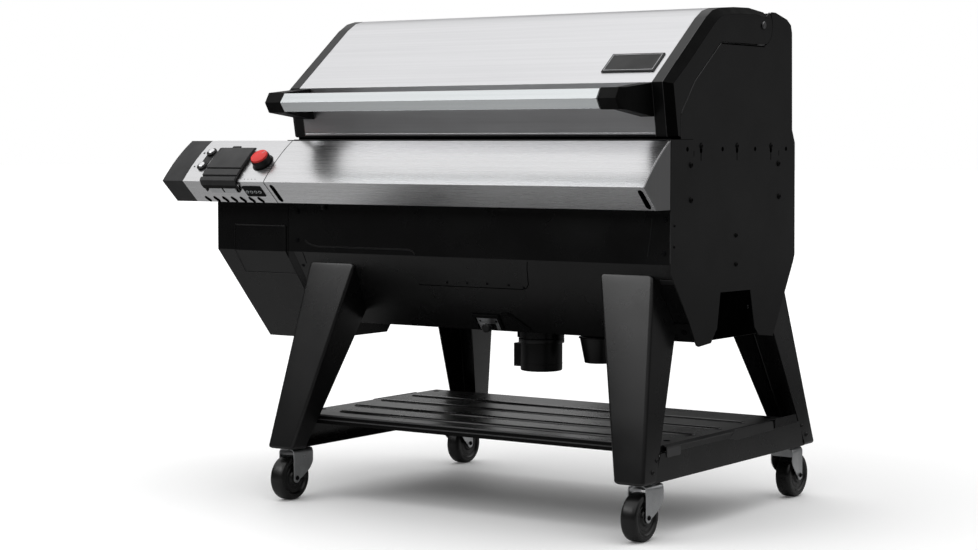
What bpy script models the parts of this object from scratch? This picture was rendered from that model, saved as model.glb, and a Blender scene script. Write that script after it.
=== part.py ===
"""Pellet smoker grill: a splayed-leg cart carrying a long cooking chamber, with a pellet hopper at
its left end, a lid that swings up and back, and a sloped control shelf across the front.

Metres, +Z up, the front faces -Y. The part's origin is on the floor, under the middle of its
bounding box. Everything hangs on one empty that stands at the middle of the cooking chamber,
because the hopper adds length on the left side only; all sizes below are measured from it.
"""
import math

import bmesh
import bpy
from mathutils import Vector

# Driving dimensions, measured from the middle of the chamber at floor level
CHAMBER_X = 0.1641          # chamber middle, right of the part's origin
CHAMBER_Y = 0.0270          # chamber middle, behind the part's origin
GAP = 0.0004                # clearance between neighbouring sheets
SHEET = 0.0025              # folded body sheet
PLATE = 0.003               # side panels, legs and brackets
PANEL_OUT = 0.578           # outer face of a side panel
PANEL_IN = PANEL_OUT - PLATE
SHELL_HALF = PANEL_IN - GAP # half length of the sheets between the side panels
FRONT_Y = -0.3465           # outer face of the front wall
REAR_Y = 0.288              # outer face of the rear wall
RIM_Z = 0.9355              # top of the front wall
FOLD_Z = 0.646              # where the front wall folds into the sloped belly
BELLY_Z = 0.455             # underside of the belly
BELLY_FRONT_Y = -0.212      # front edge of the flat belly floor
BELLY_REAR_Y = 0.166        # rear edge of the flat belly floor

PIVOT_Y, PIVOT_Z = 0.112, 1.223     # lid hinge line
LID_REAR_R = 0.050                  # lid end radius about the hinge line
SEAM_R = 0.0515                     # radius of the trough that the lid end turns in
SKIN_HALF = 0.5295                  # half length of the bare metal lid skin
RIM_HALF = 0.558                    # half length to the lid's outer rim
BAR_HALF = 0.4720                   # half length of the handle bar
BEVEL = 0.018                       # bevel between the lid's rim and its side

SHELF_TOP = (-0.3485, 0.9365)        # control shelf: rear top edge
SHELF_NOSE = (-0.4677, 0.830)       # control shelf: front fold
SHELF_UNDER = (-0.409, 0.775)       # control shelf: bottom fold
SHELF_BULGE = 0.006                 # how far the shelf's top face bows outwards
CONTROL_LEFT, CONTROL_RIGHT = -0.838, -0.5590
CAP_LEFT = -0.911

HOPPER_LEFT, HOPPER_RIGHT = -0.823, -0.5795
HOPPER_FOOT_LEFT = -0.788
HOPPER_TOP_Z, HOPPER_FOOT_Z = 0.9300, 0.402
HOPPER_LID_Z = 0.9365
DOOR_TOP_Z = 0.713                  # hinge edge of the wrap-round clean-out door
HOPPER_FOOT_FRONT, HOPPER_FOOT_REAR = -0.173, 0.085

LEG_TOP_Z, LEG_FOOT_Z = 0.62, 0.1370
LEG_TOP_Y, LEG_FOOT_Y = 0.327, 0.4490
LEG_TOP_OUT, LEG_FOOT_OUT = 0.521, 0.567
LEG_TOP_IN, LEG_FOOT_IN = 0.371, 0.486
LEG_TOP_DEPTH, LEG_FOOT_DEPTH = 0.142, 0.058
RAIL_TOP_Z = 0.2045
TRAY_TOP_Z = 0.222
TRAY_HALF_X, TRAY_FRONT_Y, TRAY_REAR_Y = 0.5545, -0.350, 0.285

CASTER_X, CASTER_FRONT_Y, CASTER_REAR_Y = 0.530, -0.368, 0.352   # caster swivel axes
CASTER_TRAIL = 0.034
WHEEL_R, WHEEL_W = 0.058, 0.042
FORK_TOP_Z = 0.1340

FIRE_X, FIRE_Y = 0.0, -0.010        # fire pot, ash gate and ash cup axis
AUGER_Z = 0.520
IGNITER_Z = 0.482
GRATE_Z = 0.892                     # underside of the cooking grates
RACK_Z = 1.060                      # underside of the upper rack
GREASE_X, GREASE_Y = 0.172, 0.0
PULL_X, PULL_Z = -0.012, 0.4638     # ash gate plate and its pull rod


def clear_scene():
    for item in list(bpy.data.objects):
        bpy.data.objects.remove(item, do_unlink=True)


def make_root():
    """The empty at the middle of the chamber, at floor level."""
    root = bpy.data.objects.new("grill", None)
    root.location = (CHAMBER_X, CHAMBER_Y, 0.0)
    bpy.context.scene.collection.objects.link(root)
    return root


def make_material(name, colour, roughness, metallic):
    material = bpy.data.materials.new(name)
    material.use_nodes = True
    shader = material.node_tree.nodes["Principled BSDF"]
    shader.inputs["Base Color"].default_value = (*colour, 1.0)
    shader.inputs["Roughness"].default_value = roughness
    shader.inputs["Metallic"].default_value = metallic
    material.diffuse_color = (*colour, 1.0)
    return material


# Building blocks --------------------------------------------------------------------------------

def make_object(name, verts, faces, material, pivot=(0.0, 0.0, 0.0), smooth=False):
    """One closed mesh, its vertices given in chamber coordinates and its origin at pivot."""
    work = bmesh.new()
    placed = [work.verts.new(Vector(v) - Vector(pivot)) for v in verts]
    for face in faces:
        work.faces.new([placed[i] for i in face])
    bmesh.ops.recalc_face_normals(work, faces=work.faces)
    mesh = bpy.data.meshes.new(name)
    work.to_mesh(mesh)
    work.free()
    if smooth:
        mesh.shade_smooth()
        mesh.set_sharp_from_angle(angle=math.radians(35))
    mesh.materials.append(material)
    item = bpy.data.objects.new(name, mesh)
    item.location = pivot
    item.parent = grill
    bpy.context.scene.collection.objects.link(item)
    return item


def loft(rings, closed=False):
    """Vertices and faces of a stack of equal rings, capped at both ends or joined into a loop."""
    size = len(rings[0])
    verts = [point for ring in rings for point in ring]
    faces = []
    spans = len(rings) if closed else len(rings) - 1
    for level in range(spans):
        low = level * size
        high = ((level + 1) % len(rings)) * size
        for i in range(size):
            j = (i + 1) % size
            faces.append((low + i, low + j, high + j, high + i))
    if not closed:
        faces.append(tuple(range(size)))
        faces.append(tuple(range((len(rings) - 1) * size, len(rings) * size)))
    return verts, faces


def prism(name, outline, start, end, material, axis="X", pivot=(0.0, 0.0, 0.0)):
    """A flat outline, in the two other axes' order, pushed along one axis from start to end."""
    place = {
        "X": lambda a, b, c: (c, a, b),
        "Y": lambda a, b, c: (a, c, b),
        "Z": lambda a, b, c: (a, b, c),
    }[axis]
    rings = [[place(a, b, c) for a, b in outline] for c in (start, end)]
    verts, faces = loft(rings)
    return make_object(name, verts, faces, material, pivot)


def box(name, low, high, material, pivot=(0.0, 0.0, 0.0)):
    outline = [(low[0], low[1]), (high[0], low[1]), (high[0], high[1]), (low[0], high[1])]
    return prism(name, outline, low[2], high[2], material, "Z", pivot)


def turned(name, profile, centre, material, axis="Z", steps=24, pivot=None, closed=True):
    """A profile of (radius, height) points turned about an axis. closed profiles are tubes and
    cups; open ones start and end on the axis with radius zero."""
    rings = []
    for step in range(steps):
        angle = 2 * math.pi * step / steps
        ring = []
        for radius, height in profile:
            a, b = radius * math.cos(angle), radius * math.sin(angle)
            offset = {"X": (height, a, b), "Y": (a, height, b), "Z": (a, b, height)}[axis]
            ring.append(tuple(c + o for c, o in zip(centre, offset)))
        rings.append(ring)
    if closed:
        verts, faces = loft(rings, closed=True)
        return make_object(name, verts, faces, material, pivot or centre, smooth=True)
    tips = [rings[0][0], rings[0][-1]]
    inner = [ring[1:-1] for ring in rings]
    size = len(inner[0])
    verts = [point for ring in inner for point in ring] + tips
    first, last = len(verts) - 2, len(verts) - 1
    faces = []
    for step in range(steps):
        here = step * size
        there = ((step + 1) % steps) * size
        for i in range(size - 1):
            faces.append((here + i, here + i + 1, there + i + 1, there + i))
        faces.append((first, here, there))
        faces.append((here + size - 1, last, there + size - 1))
    return make_object(name, verts, faces, material, pivot or centre, smooth=True)


def sheet_outline(path, thickness):
    """Closed outline of a folded sheet. The path is its outer face, the metal lies to its left."""
    def left_normal(a, b):
        run = Vector((b[0] - a[0], b[1] - a[1])).normalized()
        return Vector((-run.y, run.x))

    inner = []
    for i, point in enumerate(path):
        before = left_normal(path[max(i - 1, 0)], path[max(i, 1)])
        after = left_normal(path[min(i, len(path) - 2)], path[min(i + 1, len(path) - 1)])
        mitre = (before + after).normalized()
        reach = thickness / max(mitre.dot(before), 0.3)
        inner.append((point[0] + mitre.x * reach, point[1] + mitre.y * reach))
    return list(path) + inner[::-1]


def arc(centre, radius, start, end, steps):
    """Points on an arc, angles in degrees."""
    points = []
    for i in range(steps + 1):
        angle = math.radians(start + (end - start) * i / steps)
        points.append((centre[0] + radius * math.cos(angle), centre[1] + radius * math.sin(angle)))
    return points


def rounded(points, radius, steps=4):
    """A closed outline whose corners are replaced by arcs."""
    result = []
    count = len(points)
    for i in range(count):
        corner = Vector(points[i])
        before = Vector(points[i - 1]) - corner
        after = (Vector(points[(i + 1) % count]) - corner)
        reach = min(radius, before.length * 0.45, after.length * 0.45)
        start = corner + before.normalized() * reach
        end = corner + after.normalized() * reach
        for step in range(steps + 1):
            t = step / steps
            point = (1 - t) ** 2 * start + 2 * t * (1 - t) * corner + t ** 2 * end
            result.append((point.x, point.y))
    return result


def cut(target, cutter, operation="DIFFERENCE"):
    cutter.hide_render = True
    cutter.display_type = "WIRE"
    change = target.modifiers.new(cutter.name, "BOOLEAN")
    change.operation = operation
    change.solver = "EXACT"
    change.object = cutter


def joined_cutter(name, pieces, material):
    """Several cutting prisms in one object. Each piece is (outline, start, end, axis)."""
    work = bmesh.new()
    for outline, start, end, axis in pieces:
        place = {
            "X": lambda a, b, c: (c, a, b),
            "Y": lambda a, b, c: (a, c, b),
            "Z": lambda a, b, c: (a, b, c),
        }[axis]
        verts, faces = loft([[place(a, b, c) for a, b in outline] for c in (start, end)])
        placed = [work.verts.new(v) for v in verts]
        for face in faces:
            work.faces.new([placed[i] for i in face])
    bmesh.ops.recalc_face_normals(work, faces=work.faces)
    mesh = bpy.data.meshes.new(name)
    work.to_mesh(mesh)
    work.free()
    mesh.materials.append(material)
    item = bpy.data.objects.new(name, mesh)
    item.parent = grill
    bpy.context.scene.collection.objects.link(item)
    return item


def circle(centre, radius, steps=12):
    return arc(centre, radius, 0, 360 - 360 / steps, steps - 1)


def slot(centre, half_length, radius, angle=0.0, steps=4):
    """A round-ended slot outline at an angle in degrees."""
    points = []
    for side in (1, -1):
        for i in range(steps + 1):
            turn = math.radians(-90 + 180 * i / steps)
            a = side * (half_length + radius * math.cos(turn))
            b = side * radius * math.sin(turn)
            points.append((a, b))
    lean = math.radians(angle)
    return [(centre[0] + a * math.cos(lean) - b * math.sin(lean),
             centre[1] + a * math.sin(lean) + b * math.cos(lean)) for a, b in points]


def ladder(name, low, high, border, bars, material, lengthwise=False):
    """A grille: a flat frame with evenly spaced bars, one body."""
    first, second = (0, 1) if not lengthwise else (1, 0)
    pitch = (high[first] - low[first] - 2 * border) / (2 * bars + 1)
    stops = [low[first], low[first] + border]
    stops += [low[first] + border + pitch * (i + 1) for i in range(2 * bars)]
    stops += [high[first] - border, high[first]]
    rows = [low[second], low[second] + border, high[second] - border, high[second]]
    work = bmesh.new()
    grid = {}
    for i, a in enumerate(stops):
        for j, b in enumerate(rows):
            grid[i, j] = work.verts.new((a, b, low[2]) if not lengthwise else (b, a, low[2]))
    for i in range(len(stops) - 1):
        for j in range(3):
            if j == 1 and i % 2 == 1:
                continue
            work.faces.new([grid[i, j], grid[i + 1, j], grid[i + 1, j + 1], grid[i, j + 1]])
    grown = bmesh.ops.extrude_face_region(work, geom=work.faces[:])
    lifted = [item for item in grown["geom"] if isinstance(item, bmesh.types.BMVert)]
    bmesh.ops.translate(work, verts=lifted, vec=(0, 0, high[2] - low[2]))
    bmesh.ops.recalc_face_normals(work, faces=work.faces)
    mesh = bpy.data.meshes.new(name)
    work.to_mesh(mesh)
    work.free()
    mesh.materials.append(material)
    item = bpy.data.objects.new(name, mesh)
    item.parent = grill
    bpy.context.scene.collection.objects.link(item)
    return item


# Outlines shared by several sheets --------------------------------------------------------------

DRIP_TRAY = [(-0.335, 0.792), (-0.335, 0.770), (-0.024, 0.745), (0.276, 0.768), (0.276, 0.790)]


def shelf_path():
    """Outer face of the control shelf from its rear top edge to its rear bottom edge."""
    top, nose = Vector(SHELF_TOP), Vector(SHELF_NOSE)
    run = nose - top
    out = Vector((run.y, -run.x)).normalized()
    if out.y < 0:
        out = -out
    points = []
    for i in range(7):
        t = i / 6
        point = top + run * t + out * (4 * SHELF_BULGE * t * (1 - t))
        points.append((point.x, point.y))
    return points + [SHELF_UNDER, (SHELF_TOP[0], SHELF_UNDER[1])]


def lid_path():
    """Outer face of the lid from its front bottom edge over the top to its rear edge."""
    front = [(-0.331, 0.945), (-0.354, 1.073)]
    slope_end = (-0.150, 1.2305)
    slope = [(front[1][0] + (slope_end[0] - front[1][0]) * t,
              front[1][1] + (slope_end[1] - front[1][1]) * t) for t in (0.33, 0.66, 1.0)]
    crown = [(-0.117, 1.2495), (-0.084, 1.2575), (-0.006, 1.263), (0.070, 1.265)]
    rear_angle = 44.0
    rear = (PIVOT_Y + LID_REAR_R * math.cos(math.radians(rear_angle)),
            PIVOT_Z + LID_REAR_R * math.sin(math.radians(rear_angle)))
    return front + slope + crown + [rear]


def lid_front_y(z):
    """Where the lid's lower front face stands at one height."""
    low, high = lid_path()[:2]
    return low[0] + (high[0] - low[0]) * (z - low[1]) / (high[1] - low[1])


def side_panel_outline(arched):
    """Outline of a fixed side panel, seen from its outer face. The right one has an arch cut
    between its two lower lobes."""
    rear = [(0.177, 0.443), (0.235, 0.540), (0.287, 0.625), (0.296, 0.645), (0.292, 0.931),
            (0.276, 0.964), (0.271, 1.210), (0.264, 1.230), (0.242, 1.243), (0.178, 1.2575),
            (0.1575, 1.2575)]
    seam = arc((PIVOT_Y, PIVOT_Z), SEAM_R, 38, -80, 9)
    brow = [(-0.1055, 1.1715), (-0.2325, 1.078), (-0.300, 1.000), (-0.300, 0.9385)]
    front = [(FRONT_Y, 0.9385), (FRONT_Y, 0.629), (-0.253, 0.503), (-0.219, 0.4485),
             (-0.208, 0.4445)]
    arch = [(-0.148, 0.449), (-0.126, 0.474), (-0.118, 0.481), (-0.102, 0.569), (0.053, 0.567),
            (0.077, 0.472), (0.100, 0.451)]
    return rear + seam + brow + front + (arch if arched else [])


# Materials --------------------------------------------------------------------------------------

def build_materials():
    return {
        "coat": make_material("powder_coat", (0.018, 0.018, 0.019), 0.42, 0.0),
        "steel": make_material("brushed_steel", (0.62, 0.62, 0.63), 0.30, 1.0),
        "dark": make_material("dark_plastic", (0.022, 0.022, 0.023), 0.50, 0.0),
        "zinc": make_material("zinc", (0.55, 0.56, 0.57), 0.38, 1.0),
        "red": make_material("red_knob", (0.62, 0.03, 0.03), 0.40, 0.0),
        "button": make_material("silver_button", (0.55, 0.55, 0.56), 0.35, 1.0),
        "rubber": make_material("wheel_rubber", (0.016, 0.016, 0.016), 0.65, 0.0),
        "iron": make_material("raw_steel", (0.30, 0.29, 0.28), 0.55, 1.0),
        "enamel": make_material("black_enamel", (0.03, 0.03, 0.032), 0.35, 0.0),
    }


# Chamber ----------------------------------------------------------------------------------------

def build_chamber(mat):
    tub_path = [(FRONT_Y + 0.024, RIM_Z), (FRONT_Y, RIM_Z), (FRONT_Y, FOLD_Z),
                (BELLY_FRONT_Y, BELLY_Z), (BELLY_REAR_Y, BELLY_Z), (REAR_Y, 0.642),
                (REAR_Y, 0.9315)]
    tub = prism("chamber_tub", sheet_outline(tub_path, SHEET), -SHELL_HALF, SHELL_HALF, mat["coat"])
    inset = sheet_outline(tub_path[1:-1] + [(REAR_Y, 0.930)], SHEET / 2)[len(tub_path) - 1:]
    inset[-1] = (inset[-1][0], 0.930)
    cut(tub, joined_cutter("tub_ends", [
        (inset, SHELL_HALF - SHEET, SHELL_HALF, "X"),
        (inset, -SHELL_HALF, SHEET - SHELL_HALF, "X"),
    ], mat["coat"]), "UNION")
    rest = [(y, z - GAP) for y, z in DRIP_TRAY[1:4]]
    tray_ledge = rest + [(y, z - PLATE) for y, z in rest[::-1]]
    top = GRATE_Z - GAP
    front_ledge = [(FRONT_Y + 0.001, top - PLATE), (-0.300, top - PLATE), (-0.300, top),
                   (FRONT_Y + 0.001, top)]
    rear_ledge = [(0.250, top - PLATE), (REAR_Y - 0.001, top - PLATE), (REAR_Y - 0.001, top),
                  (0.250, top)]
    cut(tub, joined_cutter("tub_ledges", [
        (tray_ledge, 0.540, SHELL_HALF - 0.001, "X"),
        (tray_ledge, 0.001 - SHELL_HALF, -0.540, "X"),
        (front_ledge, -0.530, 0.530, "X"),
        (rear_ledge, -0.530, 0.530, "X"),
    ], mat["coat"]), "UNION")
    cut(tub, joined_cutter("tub_holes", [
        (circle((FIRE_Y, AUGER_Z), 0.0345, 20), -0.60, -0.55, "X"),
        (circle((FIRE_X, FIRE_Y), 0.047, 20), BELLY_Z - 0.02, BELLY_Z + 0.02, "Z"),
        (circle((GREASE_X, GREASE_Y), 0.014), BELLY_Z - 0.02, BELLY_Z + 0.02, "Z"),
        (circle((PULL_X, PULL_Z), 0.0045), -0.300, -0.150, "Y"),
    ], mat["coat"]))

    holes = []
    for y in (-0.269, -0.096, 0.073, 0.242):
        holes.append((circle((y, 0.916), 0.0045, 10), 0.50, 0.62, "X"))
    for y in (-0.203, -0.022, 0.158):
        holes.append((slot((y, 0.921), 0.006, 0.0048, 90), 0.50, 0.62, "X"))
    for y, z in ((-0.252, 0.879), (0.200, 0.879), (-0.251, 0.796), (0.204, 0.796),
                 (-0.025, 0.705), (-0.024, 0.634)):
        holes.append((circle((y, z), 0.004, 8), 0.50, 0.62, "X"))
    right = prism("side_panel_right", side_panel_outline(True), PANEL_IN, PANEL_OUT, mat["coat"])
    cut(right, joined_cutter("panel_holes", holes, mat["coat"]))
    left = prism("side_panel_left", side_panel_outline(False), -PANEL_OUT, -PANEL_IN, mat["coat"])
    for side, panel in ((1, right), (-1, left)):
        rail = [(-0.130, RACK_Z - 0.010), (0.175, RACK_Z - 0.010), (0.175, RACK_Z - GAP),
                (-0.130, RACK_Z - GAP)]
        ends = sorted((side * 0.560, side * (PANEL_IN + 0.001)))
        cut(panel, joined_cutter(panel.name + "_rail", [(rail, *ends, "X")], mat["coat"]),
            "UNION")
    cut(left, joined_cutter("auger_passage", [
        (circle((FIRE_Y, AUGER_Z), 0.0345, 20), -0.62, -0.55, "X"),
    ], mat["coat"]))

    hood_path = [(REAR_Y + 0.0035, 0.9330), (0.2735, 0.9645), (0.2685, 1.209), (0.262, 1.2275),
                 (0.2415, 1.2405), (0.178, 1.2550), (0.1575, 1.2550)]
    hood_path += arc((PIVOT_Y, PIVOT_Z), SEAM_R, 36, -66, 10)
    hood = prism("rear_housing", sheet_outline(hood_path, 0.002), -SHELL_HALF, SHELL_HALF,
                 mat["coat"])
    vents = []
    for column in range(-6, 7):
        x = column * 0.052
        vents.append((slot((x, 1.10), 0.030, 0.006, 90), 0.24, 0.30, "Y"))
    cut(hood, joined_cutter("exhaust_slots", vents, mat["coat"]))

    for side, name in ((1, "right"), (-1, "left")):
        plate = [(0.078, 1.110), (0.128, 1.110)]
        plate += arc((PIVOT_Y, PIVOT_Z), 0.016, 0, 180, 6)
        near, far = side * (PANEL_IN - 0.0006), side * (PANEL_IN - 0.0046)
        bracket = prism("hinge_bracket_" + name, plate, min(near, far), max(near, far),
                        mat["zinc"])
        pin = [(0.0, -0.012), (0.0048, -0.012), (0.0048, 0.0004), (0.0095, 0.0004),
               (0.0095, 0.0034), (0.0075, 0.0048), (0.0, 0.0048)]
        profile = [(r, side * h) for r, h in pin]
        shaft = turned("lid_pin_" + name, profile, (side * PANEL_OUT, PIVOT_Y, PIVOT_Z),
                       mat["zinc"], "X", 16, closed=False)
        cut(bracket, shaft, "UNION")


# Lid --------------------------------------------------------------------------------------------

def build_lid(mat):
    hinge = (0.0, PIVOT_Y, PIVOT_Z)
    path = lid_path()
    skin = sheet_outline(path[::-1], 0.002)
    prism("lid_skin", skin, -SKIN_HALF, SKIN_HALF, mat["steel"], pivot=hinge)

    inner_edge = [(-0.3015, 0.945), (-0.3015, 1.0007), (-0.2337, 1.0794), (-0.1700, 1.1264),
                  (-0.1064, 1.1735), (-0.0950, 1.1745), (-0.0700, 1.1745), (0.000, 1.1745),
                  (0.070, 1.1745), (0.1300, 1.1768)]
    for side, name in ((1, "right"), (-1, "left")):
        rings = []
        for i, point in enumerate(path):
            here = Vector(point)
            before = Vector(path[max(i - 1, 0)])
            after = Vector(path[min(i + 1, len(path) - 1)])
            run = (after - before).normalized()
            inward = Vector((run.y, -run.x))
            edge = Vector(inner_edge[i])
            bevel = here + inward * BEVEL
            rings.append([
                (side * (SKIN_HALF + GAP), *here),
                (side * RIM_HALF, *here),
                (side * PANEL_OUT, *bevel),
                (side * PANEL_OUT, *edge),
                (side * PANEL_IN, *edge),
                (side * PANEL_IN, *(bevel + inward * 0.0012)),
                (side * (RIM_HALF - 0.0012), *(here + inward * PLATE)),
                (side * (SKIN_HALF + GAP), *(here + inward * PLATE)),
            ])
        verts, faces = loft(rings)
        end = make_object("lid_end_" + name, verts, faces, mat["coat"], hinge)
        cut(end, joined_cutter("pin_clearance_" + name, [
            (circle((PIVOT_Y, PIVOT_Z), 0.0054, 16), side * 0.565, side * 0.585, "X"),
        ], mat["coat"]))

    bar = [(-0.487, 1.0560), (-0.503, 1.0330), (-0.487, 1.0100), (-0.4665, 1.0100),
           (-0.4665, 1.0560)]
    prism("handle_bar", bar, -BAR_HALF, BAR_HALF, mat["steel"], pivot=hinge)
    for side, name in ((1, "right"), (-1, "left")):
        rings = []
        for front_z, rear_z, nose in ((1.0075, 0.992, 0.0), (1.033, 1.033, 0.016),
                                      (1.0585, 1.071, 0.0)):
            rear_y = lid_front_y(rear_z) - 0.0006
            rings.append([
                (side * (BAR_HALF + GAP), -0.487 - nose, front_z),
                (side * (BAR_HALF + GAP), -0.4685, front_z),
                (side * 0.492, -0.462, front_z),
                (side * 0.492, rear_y, rear_z),
                (side * SKIN_HALF, rear_y, rear_z),
                (side * SKIN_HALF, -0.470, front_z),
                (side * 0.521, -0.487 - nose, front_z),
            ])
        verts, faces = loft(rings)
        make_object("handle_bracket_" + name, verts, faces, mat["dark"], hinge)

    slope = Vector((-0.150 + 0.354, 1.2305 - 1.073)).normalized()
    out = Vector((-slope.y, slope.x))
    foot = Vector((-0.354, 1.073)) + slope * 0.040
    corners = [foot + out * 0.0004, foot + slope * 0.072 + out * 0.0004,
               foot + slope * 0.072 + out * 0.0034, foot + out * 0.0034]
    prism("lid_badge", [tuple(c) for c in corners], 0.372, 0.516, mat["dark"], pivot=hinge)


# Control shelf ----------------------------------------------------------------------------------

def shelf_frame(t, lift=0.0):
    """A point on the shelf's top face, t from its rear edge to its nose, and the face's angle."""
    top, nose = Vector(SHELF_TOP), Vector(SHELF_NOSE)
    run = nose - top
    out = Vector((run.y, -run.x)).normalized()
    if out.y < 0:
        out = -out
    point = top + run * t + out * (4 * SHELF_BULGE * t * (1 - t) + lift)
    return point, out


def slab_on_shelf(name, x_low, x_high, t_low, t_high, lift, thickness, material, pivot=None):
    """A plate that follows the shelf's bowed top face."""
    stops = [t_low + (t_high - t_low) * i / 4 for i in range(5)]
    below = [shelf_frame(t, lift)[0] for t in stops]
    above = [shelf_frame(t, lift + thickness)[0] for t in stops]
    points = [tuple(p) for p in below + above[::-1]]
    return prism(name, points, x_low, x_high, material, pivot=pivot or (0.0, 0.0, 0.0))


def tilted_round(name, x, t, lift, profile, material, steps=24):
    """A turned piece standing on the shelf's top face."""
    point, out = shelf_frame(t, lift)
    tilt = math.atan2(-out.x, out.y)
    item = turned(name, profile, (0.0, 0.0, 0.0), material, "Z", steps, closed=False)
    item.location = (x, point.x, point.y)
    item.rotation_euler = (tilt, 0.0, 0.0)
    return item


def build_shelf(mat):
    outline = sheet_outline(shelf_path(), 0.002)
    shelf = prism("front_shelf", outline, CONTROL_RIGHT + GAP + 0.0006, SHELL_HALF, mat["steel"])
    nose, under = Vector(SHELF_NOSE), Vector(SHELF_UNDER)
    slots = []
    for x in (-0.5405, 0.560):
        slots.append((slot((x, 0.8005), 0.0165, 0.0050, 90), -0.480, -0.400, "Y"))
    cut(shelf, joined_cutter("shelf_slots", slots, mat["steel"]))
    prism("shelf_end_plate", shelf_path(), PANEL_IN, PANEL_OUT, mat["steel"])

    panel = prism("control_panel", outline, CONTROL_LEFT, CONTROL_RIGHT, mat["steel"])
    vents = []
    for i in range(7):
        x = -0.7925 + 0.0305 * i
        vents.append((slot((x, 0.7820), 0.0050, 0.0030, 135), -0.440, -0.405, "Y"))
    cut(panel, joined_cutter("panel_vents", vents, mat["steel"]))
    prism("shelf_end_cap", shelf_path(), CAP_LEFT, CONTROL_LEFT - GAP, mat["dark"])

    hinge_point, _ = shelf_frame(0.255, 0.0110)
    hinge = (-0.710, hinge_point.x, hinge_point.y)
    slab_on_shelf("display_cover", -0.770, -0.650, 0.255, 1.03, 0.0035, 0.0080, mat["dark"], hinge)

    knob = [(0.0, 0.0), (0.0240, 0.0), (0.0250, 0.012), (0.0265, 0.0140), (0.0265, 0.023),
            (0.0245, 0.0255), (0.0, 0.0260)]
    tilted_round("control_knob", -0.598, 0.58, 0.0008, knob, mat["red"], 28)
    for name, t in (("button_upper", 0.349), ("button_lower", 0.679)):
        button = [(0.0, 0.0), (0.0090, 0.0), (0.0090, 0.0045), (0.0078, 0.0056), (0.0, 0.0056)]
        tilted_round(name, -0.798, t, 0.0042, button, mat["button"], 20)


# Hopper -----------------------------------------------------------------------------------------

def bin_mesh(levels, thickness, floor):
    """A box-like bin from rectangle levels, bottom first: (z, x0, x1, y0, y1)."""
    def ring(level, inset, z):
        _, x0, x1, y0, y1 = level
        return [(x0 + inset, y0 + inset, z), (x1 - inset, y0 + inset, z),
                (x1 - inset, y1 - inset, z), (x0 + inset, y1 - inset, z)]

    outer = [ring(level, 0.0, level[0]) for level in levels]
    inner = [ring(level, thickness, level[0]) for level in levels[1:]]
    base = ring(levels[0], thickness, levels[0][0] + floor)
    rings = outer + inner[::-1] + [base]
    return rings


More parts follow.
